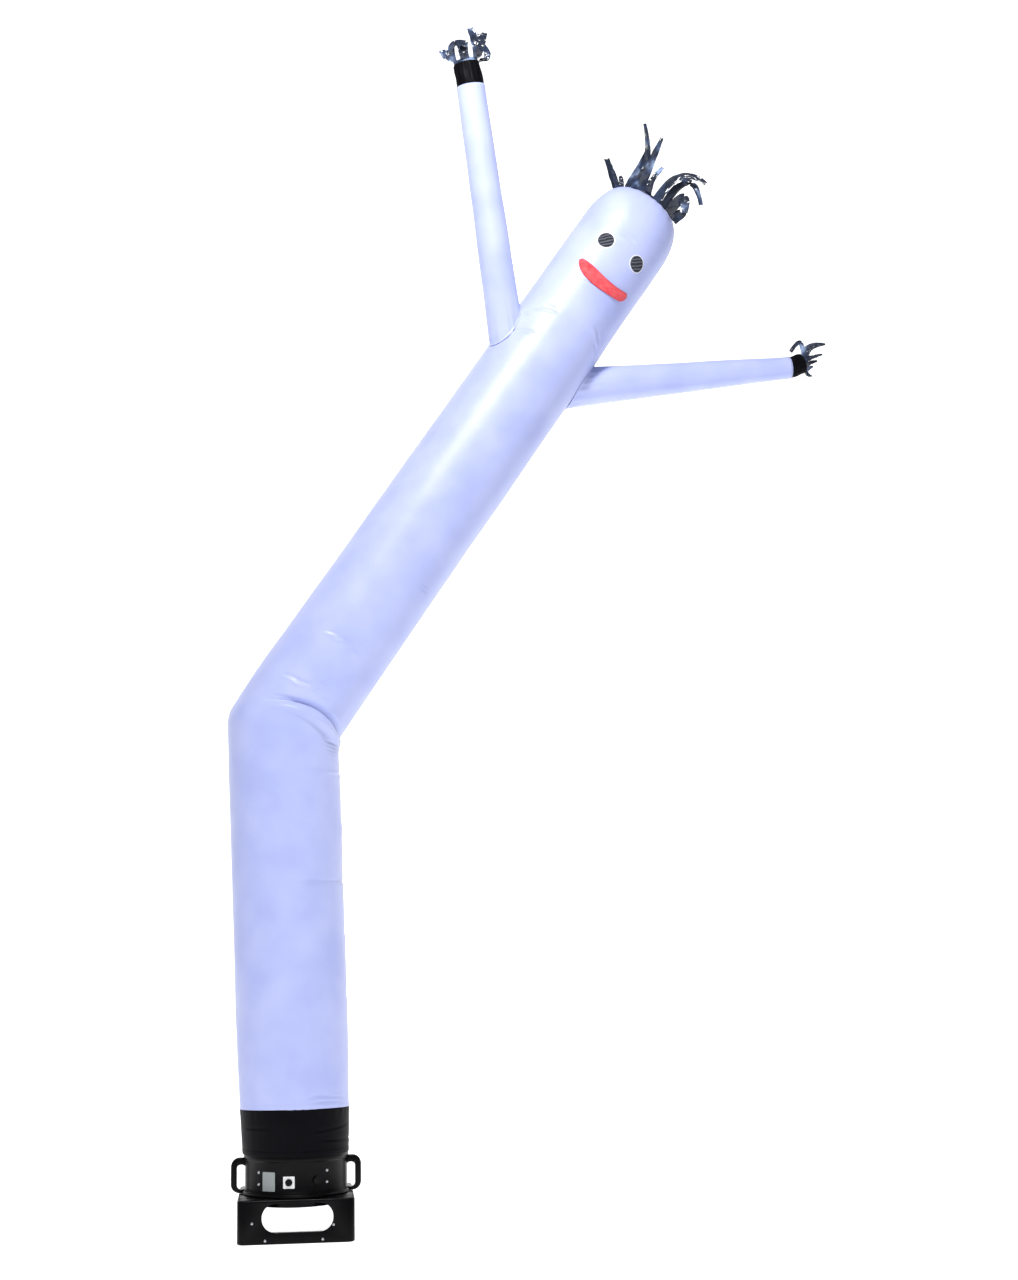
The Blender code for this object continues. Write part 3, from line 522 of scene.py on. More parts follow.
def body_grid():
    """Turns and lengths of the body's mesh from the hem to the dome's base, row by row."""
    turns = np.linspace(-math.pi, math.pi, BODY_COLUMNS, endpoint=False)
    knee = knee_point(turns)
    base = hem_point(turns, LOWER_RADII[0][1])
    knee_length = np.linalg.norm(knee - base, axis=-1)
    rows = []
    low_limit = float(knee[:, 2].min()) - KNEE_REACH
    levels = [level for level, *_ in FOLDS]
    levels += HEM_LEVELS
    heights = dense_values(float(HEM[2]), low_limit, LOWER_ROW, levels, 0.018, DENSE_ROW)
    for height in heights:
        share = (height - HEM[2]) / (low_limit - HEM[2])
        level = base[:, 2] * (1 - share) + height * share
        level = np.where(share == 0, base[:, 2], np.maximum(level, base[:, 2]))
        rows.append(-knee_length * (knee[:, 2] - level) / (knee[:, 2] - base[:, 2]))
    last = rows[-1]
    steps = max(2, int((np.abs(last + KNEE_REACH).max()) / LOWER_ROW))
    for k in range(1, steps):
        rows.append(last + (-KNEE_REACH - last) * k / steps)
    for along in np.arange(-KNEE_REACH, KNEE_REACH, KNEE_ROW):
        rows.append(np.full(BODY_COLUMNS, along))
    top = DOME_BASE + upper_radial(turns) * UPPER_RADII[-1][1]
    upper_length = np.linalg.norm(top - knee, axis=-1)
    marks = [(row[1] + row[3]) / 2 for row in CREASES if row[1] > KNEE_REACH]
    spread = dense_values(KNEE_REACH, UPPER_LENGTH, UPPER_ROW, marks, 0.026, DENSE_ROW * 1.25)
    for value in spread:
        late = smooth_step((value - 1.0) / 1.0)
        rows.append(value + (upper_length - UPPER_LENGTH) * late)
    rows[-1] = upper_length
    along = np.array(rows)
    return np.broadcast_to(turns, along.shape), along


def add_mesh(name, points, faces, material, smooth_angle=50):
    mesh = bpy.data.meshes.new(name)
    mesh.from_pydata([tuple(map(float, p)) for p in points], [], faces)
    mesh.validate()
    mesh.materials.append(material)
    mesh.shade_smooth()
    mesh.set_sharp_from_angle(angle=math.radians(smooth_angle))
    obj = bpy.data.objects.new(name, mesh)
    bpy.context.scene.collection.objects.link(obj)
    return obj


def grid_faces(rows, columns, closed=True, first=0):
    """Quads of a grid, its columns joined round where it is closed."""
    faces = []
    for r in range(rows - 1):
        for c in range(columns if closed else columns - 1):
            n = (c + 1) % columns
            a, b = first + r * columns, first + (r + 1) * columns
            faces.append((a + c, a + n, b + n, b + c))
    return faces


def cloth_map(obj, columns, across, along, closed=True):
    """A UV map in metres, so that weave and threads follow the cloth."""
    layer = obj.data.uv_layers.new(name="cloth")
    flat_x, flat_y = across.reshape(-1), along.reshape(-1)
    wrap = across[0, -1] + (across[0, -1] - across[0, -2])
    for polygon in obj.data.polygons:
        ids = list(polygon.vertices)
        seam = closed and any(i % columns == columns - 1 for i in ids) and any(i % columns == 0 for i in ids)
        for loop, i in zip(polygon.loop_indices, ids):
            x = wrap if seam and i % columns == 0 else flat_x[i]
            layer.data[loop].uv = (x, flat_y[i])


def tube_piece(name, points, across, along, material, thickness=CLOTH, closed=True):
    """A cloth tube or sheet from a grid of points, given its thickness inwards."""
    rows, columns = points.shape[:2]
    obj = add_mesh(name, points.reshape(-1, 3), grid_faces(rows, columns, closed), material, 75)
    cloth_map(obj, columns, across, along, closed)
    wall = obj.modifiers.new("wall", "SOLIDIFY")
    wall.thickness = thickness
    wall.offset = -1.0
    wall.use_even_offset = True
    return obj


def dome_grid(turns):
    """The crown above the tube: points, outward directions and lengths."""
    points, outward, lengths = [], [], []
    base = UPPER_RADII[-1][1]
    length = UPPER_LENGTH
    previous = None
    for step in range(1, DOME_ROWS + 1):
        share = math.pi / 2 * step / DOME_ROWS
        radius = CROWN_OPENING + (base - CROWN_OPENING) * math.cos(share)
        middle = DOME_BASE + UPPER_AXIS * DOME_HEIGHT * math.sin(share)
        points.append(middle + upper_radial(turns) * radius)
        outward.append(unit(upper_radial(turns) * math.cos(share) + UPPER_AXIS * math.sin(share) * 0.45))
        place = np.array((radius, DOME_HEIGHT * math.sin(share)))
        start = np.array((base, 0.0)) if previous is None else previous
        length += float(np.linalg.norm(place - start))
        previous = place
        lengths.append(np.full(len(turns), length))
    return np.array(points), np.array(outward), np.array(lengths)


def build_body(material):
    turn, along = body_grid()
    points, outward = tube_place(turn, along)
    relief = fold_height(turn, along) * (np.abs(along) < KNEE_REACH)
    relief += folds_relief(turn, points[..., 2]) * (along < -KNEE_REACH / 2)
    relief += creases_relief(turn, along - KNEE_DROP, CREASES)
    relief += creases_relief(turn, points[..., 2], HEM_FAN) * (points[..., 2] < 0.7)
    dome, dome_out, dome_along = dome_grid(turn[0])
    dome_turn = np.broadcast_to(turn[0], dome_along.shape)
    rise = (dome_along - UPPER_LENGTH) / (dome_along[-1, 0] - UPPER_LENGTH)
    pleats = np.sin(dome_turn * 23 + 1.3 * np.sin(dome_turn * 5)) * rise**2 * 0.0016
    points = np.concatenate([points, dome])
    outward = np.concatenate([outward, dome_out])
    relief = np.concatenate([relief, pleats])
    along = np.concatenate([along, dome_along])
    turn = np.concatenate([turn, dome_turn])
    height = points[..., 2] - hem_point(turn, LOWER_RADII[0][1])[..., 2]
    hem_pucker = np.exp(-((height / 0.03) ** 2)) * np.sin(turn * 41 + 2 * np.sin(turn * 3)) * 0.0007
    hem_band = -0.0009 * smooth_step((height - 0.016) / 0.003) * np.exp(-(((height - 0.016) / 0.02) ** 2))
    calm = smooth_step(height / 0.08)
    relief += hem_pucker + hem_band * (height < 0.1)
    relief += 0.0022 * soft_noise(points, 0.34, 3.1) * calm + 0.0008 * soft_noise(points, 0.11, 7.7) * calm
    points = points + outward * relief[..., None]
    body = tube_piece("nylon_body", points, turn * KNEE_RADIUS, along, material)
    return body


def arm_frame(root, tip):
    axis = unit(tip - root)
    side = unit(np.cross(np.array((0.0, 1.0, 0.0)), axis))
    return axis, side, np.cross(axis, side)


def arm_root(name):
    root_along, root_turn = ARMS[name][0], np.array(math.radians(ARMS[name][1]))
    return KNEE + UPPER_AXIS * root_along + upper_radial(root_turn) * ARM_ROOT_REACH


def arm_line(name, turn, along):
    """Points along an arm's lengthwise lines, and the outward direction at each."""
    _, _, root_half, tip, half_side, half_deep = ARMS[name]
    root, tip = arm_root(name), np.array(tip)
    axis, side, deep = arm_frame(root, tip)
    share = along / np.linalg.norm(tip - root)
    a = root_half + (half_side - root_half) * share
    b = root_half + (half_deep - root_half) * share
    c, s = np.cos(turn)[..., None], np.sin(turn)[..., None]
    out = side * c * a[..., None] + deep * s * b[..., None]
    return root + axis * along[..., None] + out, unit(side * c + deep * s)


def tube_distance(points):
    """How far points lie outside the upper tube."""
    out = points - KNEE
    run = dot(out, UPPER_AXIS)
    share = np.clip(run[..., 0] / UPPER_LENGTH, 0, 1)
    return np.linalg.norm(out - UPPER_AXIS * run, axis=-1) - read_table(UPPER_RADII, share)


def arm_start(name, turn, clear):
    """The length at which each line of an arm leaves the tube."""
    low, high = np.full_like(turn, -0.13), np.full_like(turn, 0.5)
    for _ in range(40):
        middle = (low + high) / 2
        outside = tube_distance(arm_line(name, turn, middle)[0]) > clear
        low, high = np.where(outside, low, middle), np.where(outside, middle, high)
    return high


def build_arm(name, material):
    tip = np.array(ARMS[name][3])
    length = float(np.linalg.norm(tip - arm_root(name)))
    turns = np.linspace(0, 2 * math.pi, ARM_COLUMNS, endpoint=False)
    start = arm_start(name, turns, 0.0006)
    steps = np.linspace(0, 1, ARM_ROWS) ** 1.35
    along = start + (length - start) * steps[:, None]
    turn = np.broadcast_to(turns, along.shape)
    points, outward = arm_line(name, turn, along)
    out_of_root = along - start
    pleat = np.sin(turn * ARM_PLEATS + 1.7 * np.sin(turn * 4)) * np.exp(-out_of_root / ARM_PLEAT_FADE)
    relief = ARM_PLEAT_DEPTH * pleat * smooth_step(out_of_root / 0.02)
    relief += 0.004 * np.exp(-((out_of_root / 0.006) ** 2))
    for at, middle, spread, depth in ARM_CREASES:
        seen = np.exp(-(((turn - middle + math.pi) % (2 * math.pi) - math.pi) / spread) ** 2)
        relief += depth * seen * crease_profile(out_of_root - at - 0.006 * np.sin(turn * 3), 0.0055)
    before_hem = length - along
    relief += 0.0008 * smooth_step((ARM_HEM - before_hem) / 0.003)
    relief += 0.0016 * soft_noise(points, 0.16, 5.0) * smooth_step(before_hem / 0.05)
    relief += 0.0006 * np.sin(turn * 22 + 3) * np.exp(-((before_hem - ARM_HEM) / 0.03) ** 2)
    points = points + outward * relief[..., None]
    size = ARMS[name][2]
    return tube_piece("nylon_arm_" + name, points, turn * size, along, material)


def cuff_sizes(name):
    inset = CLOTH + 2 * 0.0003
    return ARMS[name][4] - inset, ARMS[name][5] - inset


def build_cuff(name, material):
    """A cuff from inside the arm's end to its own slightly ragged end."""
    tip, end = np.array(ARMS[name][3]), np.array(CUFF_ENDS[name])
    axis, side, deep = arm_frame(arm_root(name), tip)
    _, end_side, end_deep = arm_frame(tip, end)
    half_side, half_deep = cuff_sizes(name)
    turns = np.linspace(0, 2 * math.pi, CUFF_COLUMNS, endpoint=False)
    c, s = np.cos(turns)[:, None], np.sin(turns)[:, None]
    length = float(np.linalg.norm(end - tip))
    points, lengths = [], []
    for share in np.linspace(-CUFF_LAP / length, 1, CUFF_ROWS):
        held = max(0.0, share)
        middle = tip + (axis * share * length if share < 0 else (end - tip) * share)
        turn_side = unit(side * (1 - held) + end_side * held)
        turn_deep = unit(deep * (1 - held) + end_deep * held)
        size = 1 + (CUFF_TAPER - 1) * held
        gather = 0.0016 * np.sin(turns * 19 + 1.1 * np.sin(turns * 3)) * smooth_step(np.array(held / 0.3))
        sag = 0.0022 * np.sin(turns * 3 + held * 5) * math.sin(math.pi * held)
        grow = (1 + (gather + sag) / half_side)[:, None]
        points.append(middle + (turn_side * c * half_side + turn_deep * s * half_deep) * size * grow)
        lengths.append(np.full(CUFF_COLUMNS, share * length))
    points, lengths = np.array(points), np.array(lengths)
    across = np.broadcast_to(turns * half_side, lengths.shape)
    return tube_piece("cuff_cloth_" + name, points, across, lengths, material)


def strip_grid(root, edge, middle, row, seed):
    """One strip: rows of points across it, from its root through its bend to its tip."""
    _, width, tip_width, twist, bend, tip = row
    bend, tip = middle + np.array(bend), middle + np.array(tip)
    pull = bend * 2 - (root + tip) / 2
    rows = []
    for i in range(STRIP_STEPS + 1):
        share = i / STRIP_STEPS
        place = root * (1 - share) ** 2 + pull * 2 * share * (1 - share) + tip * share**2
        way = unit((pull - root) * (1 - share) + (tip - pull) * share)
        settle = float(smooth_step(np.array(share / STRIP_SETTLE)))
        facing = unit(np.cross(way, FRONT))
        facing = facing if np.dot(facing, edge) > 0 else -facing
        spin = Quaternion(Vector(way), math.radians(twist) * share)
        facing = np.array(spin @ Vector(facing))
        wide = edge * (1 - settle) + facing * settle
        wide = unit(wide - way * np.dot(way, wide))
        thin = np.cross(way, wide)
        breadth = width + (tip_width - width) * share**2
        breadth *= 1 + 0.10 * noise.noise(Vector((seed, share * 5, 0.5)))
        cup = STRIP_CUP * breadth * math.sin(math.pi * min(1.0, share * 1.2)) * (1 if seed % 2 else -1)
        line = []
        for k in range(STRIP_ACROSS + 1):
            x = k / STRIP_ACROSS - 0.5
            crumple = noise.noise(Vector((seed * 3.7 + x * 2.2, share * 7.0, seed))) * STRIP_CRUMPLE
            crumple += noise.noise(Vector((seed + x * 5.0, share * 16.0, 2.0))) * STRIP_CRUMPLE * 0.45
            ripple = crumple * 2.2 * float(smooth_step(np.array(share * 4)))
            line.append(place + wide * breadth * x + thin * (cup * (1 - 4 * x * x) + ripple))
        rows.append(line)
    return np.array(rows)


def build_fringe(name, middle, axis, across, half_side, half_deep, seats, rows, material):
    """A narrow ring and the strips that stand on it, as one mesh."""
    deep = np.cross(axis, across)
    points, faces = [], []
    count = seats * 4
    ring = []
    for lift, wall in ((-0.5, 0), (0.5, 0), (0.5, FRINGE_WALL), (-0.5, FRINGE_WALL)):
        for i in range(count):
            turn = 2 * math.pi * i / count
            out = across * (half_side - wall) * math.cos(turn) + deep * (half_deep - wall) * math.sin(turn)
            ring.append(middle + axis * lift * FRINGE_RING + out)
    points.extend(ring)
    for k in range(4):
        n = (k + 1) % 4
        for i in range(count):
            j = (i + 1) % count
            faces.append((k * count + i, k * count + j, n * count + j, n * count + i))
    for row in rows:
        turn = 2 * math.pi * row[0] / seats
        out = across * (half_side - FRINGE_WALL / 2) * math.cos(turn)
        out = out + deep * (half_deep - FRINGE_WALL / 2) * math.sin(turn)
        edge = unit(deep * half_deep * math.cos(turn) - across * half_side * math.sin(turn))
        root = middle + axis * FRINGE_RING * 0.3 + out
        grid = strip_grid(root, edge, middle, row, row[0] + 1)
        steps, wide = grid.shape[:2]
        for side in (0.5, -0.5):
            shell = grid + strip_normals(grid) * STRIP_CLOTH * side
            first = len(points)
            points.extend(shell.reshape(-1, 3))
            sheet = grid_faces(steps, wide, False, first)
            faces.extend(sheet if side > 0 else [tuple(reversed(f)) for f in sheet])
        near, far = first - steps * wide, first
        rim = [(r, 0) for r in range(steps)] + [(steps - 1, c) for c in range(1, wide)]
        rim += [(r, wide - 1) for r in range(steps - 2, -1, -1)] + [(0, c) for c in range(wide - 2, 0, -1)]
        ids = [r * wide + c for r, c in rim]
        for a, b in zip(ids, ids[1:] + ids[:1]):
            faces.append((near + a, near + b, far + b, far + a))
    return add_mesh(name, points, faces, material, 70)


def strip_normals(grid):
    along = np.gradient(grid, axis=0)
    across = np.gradient(grid, axis=1)
    return unit(np.cross(across, along))


def build_hand(name, material):
    end = np.array(CUFF_ENDS[name])
    axis, side, _ = arm_frame(np.array(ARMS[name][3]), end)
    half_side, half_deep = cuff_sizes(name)
    room = (CLOTH + 2 * 0.0003) / math.cos(math.pi / HAND_SEATS) + FRINGE_CLEAR
    sizes = (half_side * CUFF_TAPER - room, half_deep * CUFF_TAPER - room)
    middle = end + axis * FRINGE_LIFT
    piece = "finger_strips_" + name
    return build_fringe(piece, middle, axis, side, *sizes, HAND_SEATS, HANDS[name], material)


def build_hair(material):
    middle = DOME_BASE + UPPER_AXIS * (DOME_HEIGHT + HAIR_LIFT)
    radius = CROWN_OPENING * math.cos(math.pi / 36) - HAIR_CLEAR
    across = UPPER_RIGHT
    return build_fringe("hair_strips", middle, UPPER_AXIS, across, radius, radius, HAIR_SEATS, HAIR, material)


def head_point(turn, below, lift):
    """Points over the head, at turns from its front and lengths below the dome's base."""
    around = turn - math.pi / 2
    radius = read_table(UPPER_RADII, 1 - below / UPPER_LENGTH) + lift
    return DOME_BASE - UPPER_AXIS * below[..., None] + upper_radial(around) * radius[..., None]


def eye_place(name, lift):
    """A function from the eye's own flat plane in metres to the head."""
    turn, below = next((math.radians(t), b) for n, t, b in EYES if n == name)
    radius = UPPER_RADII[-1][1]
    return lambda x, y: head_point(turn + x / radius, below + y, lift)


def build_eye(name, fabric, thread, halo):
    """A round mesh patch with its rim of thread and a pale band of stitches round it."""
    rings, spokes = 14, 64
    radius = EYE_DIAMETER / 2
    turns = np.linspace(0, 2 * math.pi, spokes, endpoint=False)
    shares = np.linspace(0.02, 1, rings)
    x, y = shares[:, None] * radius * np.cos(turns), shares[:, None] * radius * np.sin(turns)
    crown = 0.0015 * (1 - shares[:, None] ** 4)
    crown = crown + 0.0006 * np.sin(x * 260 + y * 90) * (1 - shares[:, None] ** 2)
    lift = EYE_CLEAR + PATCH + crown
    points = eye_place(name, lift)(x, y)
    faces = [tuple(reversed(f)) for f in grid_faces(rings, spokes)]
    faces.append(tuple(range(spokes)))
    patch = add_mesh(name + "_patch", points.reshape(-1, 3), faces, fabric, 80)
    wall = patch.modifiers.new("wall", "SOLIDIFY")
    wall.thickness = PATCH
    wall.offset = -1.0
    layer = patch.data.uv_layers.new(name="cloth")
    flat = np.stack([x.reshape(-1), y.reshape(-1)], axis=-1)
    for loop in patch.data.loops:
        layer.data[loop.index].uv = flat[loop.vertex_index]
    rim = stitched_ring(name + "_rim", eye_place(name, 0.0022), radius - 0.0012, 0.0017, thread)
    band = stitched_ring(name + "_halo", eye_place(name, 0.0012), radius + 0.0038, 0.0026, halo)
    return patch, (rim, band)


def stitched_ring(name, place, radius, size, material):
    """A low ring of close satin stitches on the head."""
    count, sides = 220, 6
    turns = np.linspace(0, 2 * math.pi, count, endpoint=False)
    points = []
    for k in range(sides):
        t = 2 * math.pi * k / sides
        swell = size * (1 + 0.16 * np.sin(turns * 74))
        r = radius + swell * math.cos(t)
        out = place(r * np.cos(turns), r * np.sin(turns))
        lift = 0.45 * swell * math.sin(t)
        centre = DOME_BASE + UPPER_AXIS * dot(out - DOME_BASE, UPPER_AXIS)
        points.append(out + unit(out - centre) * lift[:, None])
    return add_mesh(name, np.array(points).reshape(-1, 3), tube_faces(sides, count), material, 60)


def tube_faces(sides, count):
    faces = []
    for k in range(sides):
        n = (k + 1) % sides
        for i in range(count):
            j = (i + 1) % count
            faces.append((k * count + i, k * count + j, n * count + j, n * count + i))
    return faces


def mouth_edges(count):
    turn = np.array([math.radians(row[0]) for row in MOUTH])
    share = np.linspace(0, 1, count)
    spread = turn[0] + (turn[-1] - turn[0]) * (share + 0.5 * np.sin(2 * math.pi * share) * -0.09)
    upper = np.interp(spread, turn, [row[1] for row in MOUTH])
    lower = np.interp(spread, turn, [row[2] for row in MOUTH])
    return spread, upper, lower


def build_mouth(fabric, thread):
    """The mouth patch, softly puffed between its edges, with a stitched outline."""
    count, across = 90, 18
    turn, upper, lower = mouth_edges(count)
    share = np.linspace(0, 1, across)[None, :]
    below = upper[:, None] * (1 - share) + lower[:, None] * share
    spread = np.broadcast_to(turn[:, None], below.shape)
    puff = 0.0022 * np.sin(math.pi * share) ** 0.6
    ripple = 0.0009 * np.sin(below * 300 + spread * 40) * np.sin(math.pi * share)
    ends = np.sin(math.pi * np.linspace(0, 1, count))[:, None] ** 0.3
    points = head_point(spread, below, MOUTH_CLEAR + PATCH + (puff + ripple) * ends)
    patch = add_mesh("mouth_patch", points.reshape(-1, 3), grid_faces(count, across, False), fabric, 80)
    cloth_map(patch, across, spread * 0.22, below, False)
    wall = patch.modifiers.new("wall", "SOLIDIFY")
    wall.thickness = PATCH
    normal = unit(np.cross(points[1, 0] - points[0, 0], points[0, 1] - points[0, 0]))
    wall.offset = 1.0 if dot(normal, points[0, 0] - KNEE)[0] < 0 else -1.0
    rim_turn = np.concatenate([turn, turn[::-1]])
    rim_below = np.concatenate([upper, lower[::-1]])
    middle_below = np.interp(rim_turn, turn, (upper + lower) / 2)
    inward = np.sign(middle_below - rim_below)
    sides, size = 6, 0.0022
    rings = []
    wave = 1 + 0.18 * np.sin(np.arange(len(rim_turn)) * 2.1)
    for k in range(sides):
        t = 2 * math.pi * k / sides
        below_k = rim_below + inward * (0.0018 + size * wave * math.cos(t))
        lift = MOUTH_CLEAR + PATCH + 0.0012 + 0.5 * size * wave * math.sin(t)
        rings.append(head_point(rim_turn, below_k, lift))
    rim = add_mesh("mouth_rim", np.array(rings).reshape(-1, 3), tube_faces(sides, len(rim_turn)), thread, 60)
    return patch, rim


def build_sleeve(material):
    """The black sleeve: straight cloth with its seam, lower hem and shallow creases."""
    turns = np.linspace(-math.pi, math.pi, SLEEVE_COLUMNS, endpoint=False)
    top = hem_point(turns, SLEEVE_HIGH_RADIUS) - LOWER_AXIS * SLEEVE_SEAM
    bottom = np.array((SLEEVE_SHIFT, 0.0, SLEEVE_BOTTOM)) + lower_radial(turns) * SLEEVE_LOW_RADIUS
    bottom[:, 2] = SLEEVE_BOTTOM
    share = np.linspace(0, 1, SLEEVE_ROWS)[:, None]
    points = bottom * (1 - share[..., None]) + top * share[..., None]
    turn = np.broadcast_to(turns, points.shape[:2])
    up = points[..., 2] - SLEEVE_BOTTOM
    outward = lower_radial(turn)
    relief = 0.0010 * np.sin(turn * 37 + 2 * np.sin(turn * 5)) * np.exp(-(((up - 0.174) / 0.02) ** 2))
    relief += 0.0010 * soft_noise(points, 0.09, 11.0) * np.sin(math.pi * share)
    for level, tilt, start, end, depth in SLEEVE_CREASES:
        across = up - level - tilt * (turn + 0.8)
        relief += depth * turn_window(turn, start, end) * crease_profile(across, 0.006)
    for seam in (-131.5, -129.0):
        relief += -0.0009 * np.exp(-(((np.degrees(turn) - seam) / 0.8) ** 2))
    relief += 0.0008 * smooth_step((0.022 - up) / 0.003) - 0.0006 * np.exp(-(((up - 0.024) / 0.002) ** 2))
    points = points + outward * (relief * smooth_step(np.minimum(up, 0.5) / 0.004))[..., None]
    return tube_piece("sleeve_cloth", points, turn * SLEEVE_LOW_RADIUS, up, material)


def shader(material, name):
    return material.node_tree.nodes.new(name)


def new_material(name, colour, roughness, specular=0.5, sheen=0.0):
    material = bpy.data.materials.new(name)
    material.use_nodes = True
    principled = material.node_tree.nodes["Principled BSDF"]
    principled.inputs["Base Color"].default_value = colour
    principled.inputs["Roughness"].default_value = roughness
    principled.inputs["Specular IOR Level"].default_value = specular
    principled.inputs["Sheen Weight"].default_value = sheen
    return material, principled


def link(material, source, target):
    material.node_tree.links.new(source, target)


def cloth_coordinates(material):
    node = shader(material, "ShaderNodeUVMap")
    node.uv_map = "cloth"
    return node.outputs["UV"]


def object_coordinates(material):
    return shader(material, "ShaderNodeTexCoord").outputs["Object"]


def noise_texture(material, vector, scale, detail=3.0):
    node = shader(material, "ShaderNodeTexNoise")
    node.inputs["Scale"].default_value = scale
    node.inputs["Detail"].default_value = detail
    link(material, vector, node.inputs["Vector"])
    return node.outputs["Fac"]


def ramp(material, value, stops):
    """A colour ramp over a value, from (position, colour) stops."""
    node = shader(material, "ShaderNodeValToRGB")
    elements = node.color_ramp.elements
    while len(elements) < len(stops):
        elements.new(0.5)
    for element, (position, colour) in zip(elements, stops):
        element.position = position
        element.color = colour
    link(material, value, node.inputs["Fac"])
    return node.outputs["Color"]


def wave(material, vector, direction, scale):
    node = shader(material, "ShaderNodeTexWave")
    node.bands_direction = direction
    node.inputs["Scale"].default_value = scale
    link(material, vector, node.inputs["Vector"])
    return node.outputs["Fac"]


def combine(material, a, b, operation="ADD"):
    node = shader(material, "ShaderNodeMath")
    node.operation = operation
    for value, socket in ((a, node.inputs[0]), (b, node.inputs[1])):
        if isinstance(value, (int, float)):
            socket.default_value = value
        else:
            link(material, value, socket)
    return node.outputs["Value"]


def bump(material, principled, height, strength, distance):
    node = shader(material, "ShaderNodeBump")
    node.inputs["Strength"].default_value = strength
    node.inputs["Distance"].default_value = distance
    link(material, height, node.inputs["Height"])
    link(material, node.outputs["Normal"], principled.inputs["Normal"])


def nylon_material(name, pale, deep, roughness, specular, sheen, fine=0.35, grid=0.006):
    """Thin nylon: a fine weave with a ripstop grid, cloudy patches of a second colour (painted shade on the
    white nylon, a lighter tone on the black) and slight rumpling.
    """
    material, principled = new_material(name, pale, roughness, specular, sheen)
    cloth = cloth_coordinates(material)
    place = object_coordinates(material)
    # Cloudy patches of the second colour: painted shade on the white nylon, a slightly lighter tone on the
    # black nylon.
    cloudy = noise_texture(material, place, 5.0, 2.0)
    link(material, ramp(material, cloudy, ((0.35, pale), (0.65, deep))), principled.inputs["Base Color"])
    warp = wave(material, cloth, "X", 1 / grid / 3.14)
    weft = wave(material, cloth, "Y", 1 / grid / 3.14)
    warp = combine(material, warp, 24.0, "POWER")
    weft = combine(material, weft, 24.0, "POWER")
    threads = combine(material, combine(material, warp, weft), 0.03, "MULTIPLY")
    rumple = noise_texture(material, place, 26.0, 5.0)
    height = combine(material, threads, combine(material, rumple, fine, "MULTIPLY"))
    bump(material, principled, height, 0.5, 0.004)
    return material


def strip_material():
    """Glossy dark nylon with pale blue reflections of the sky painted into its colour in broken patches."""
    material, principled = new_material("strip_nylon_look", STRIP_NYLON, 0.24, 0.6, sheen=0.1)
    place = object_coordinates(material)
    patches = noise_texture(material, place, 11.0, 2.0)
    # Painted reflection: the dark nylon runs through deep blue into pale blue in noise patches.
    colours = ((0.50, STRIP_NYLON), (0.60, (0.03, 0.05, 0.11, 1)), (0.72, STRIP_PAINTED_REFLECTION))
    link(material, ramp(material, patches, colours), principled.inputs["Base Color"])
    rumple = noise_texture(material, place, 24.0, 2.0)
    bump(material, principled, rumple, 0.4, 0.004)
    return material


def eye_material():
    """Dark mesh with lighter slanting slashes."""
    material, principled = new_material("eye_mesh_look", EYE_DARK, 0.6, 0.3)
    cloth = cloth_coordinates(material)
    slashes = shader(material, "ShaderNodeTexWave")
    slashes.bands_direction = "DIAGONAL"
    slashes.inputs["Scale"].default_value = 30.0
    slashes.inputs["Distortion"].default_value = 2.5
    slashes.inputs["Detail"].default_value = 2.0
    link(material, cloth, slashes.inputs["Vector"])
    colours = ((0.45, EYE_DARK), (0.8, EYE_LIGHT))
    link(material, ramp(material, slashes.outputs["Fac"], colours), principled.inputs["Base Color"])
    threads = combine(material, wave(material, cloth, "X", 160.0), wave(material, cloth, "Y", 160.0))
    bump(material, principled, threads, 0.6, 0.001)
    return material


def mouth_material():
    """Coral red cloth, cloudy along its folds."""
    material, principled = new_material("mouth_look", MOUTH_RED, 0.5, 0.35, sheen=0.2)
    cloth = cloth_coordinates(material)
    cloudy = noise_texture(material, cloth, 28.0, 3.0)
    pale = (0.88, 0.12, 0.14, 1)
    link(material, ramp(material, cloudy, ((0.35, MOUTH_RED), (0.68, pale))), principled.inputs["Base Color"])
    threads = combine(material, wave(material, cloth, "X", 220.0), wave(material, cloth, "Y", 220.0))
    bump(material, principled, threads, 0.5, 0.0008)
    return material


def plastic_material(name, colour, roughness, specular):
    """Moulded plastic: a faint orange-peel surface with dust and fine wear in its gloss."""
    material, principled = new_material(name, colour, roughness, specular)
    place = object_coordinates(material)
    dust = noise_texture(material, place, 9.0, 6.0)
    worn = ramp(material, dust, ((0.35, (roughness,) * 3 + (1,)), (0.75, (roughness + 0.18,) * 3 + (1,))))
    link(material, worn, principled.inputs["Roughness"])
    bump(material, principled, noise_texture(material, place, 420.0, 2.0), 0.12, 0.0006)
    return material


def turned_piece(name, profile, material, columns=DRUM_COLUMNS, angle=40):
    """A ring turned from the closed (radius, height) profile of its wall."""
    turns = np.linspace(0, 2 * math.pi, columns, endpoint=False)
    count = len(profile)
    points = [(r * math.cos(t), r * math.sin(t), z) for t in turns for r, z in profile]
    faces = []
    for i in range(columns):
        a, b = i * count, (i + 1) % columns * count
        for k in range(count):
            n = (k + 1) % count
            faces.append((a + k, b + k, b + n, a + n))
    return add_mesh(name, points, faces, material, angle)


def bevelled(obj, width, segments=3, angle=35):
    bevel = obj.modifiers.new("edge", "BEVEL")
    bevel.width = width
    bevel.segments = segments
    bevel.limit_method = "ANGLE"
    bevel.angle_limit = math.radians(angle)
    return obj


def rounded_rectangle(width, height, corner, steps=8):
    points = []
    for i in range(4):
        sign_x = 1 if i in (0, 3) else -1
        sign_y = 1 if i in (0, 1) else -1
        cx, cy = sign_x * (width / 2 - corner), sign_y * (height / 2 - corner)
        for k in range(steps + 1):
            t = math.pi / 2 * (i + k / steps)
            points.append((cx + corner * math.cos(t), cy + corner * math.sin(t)))
    return points


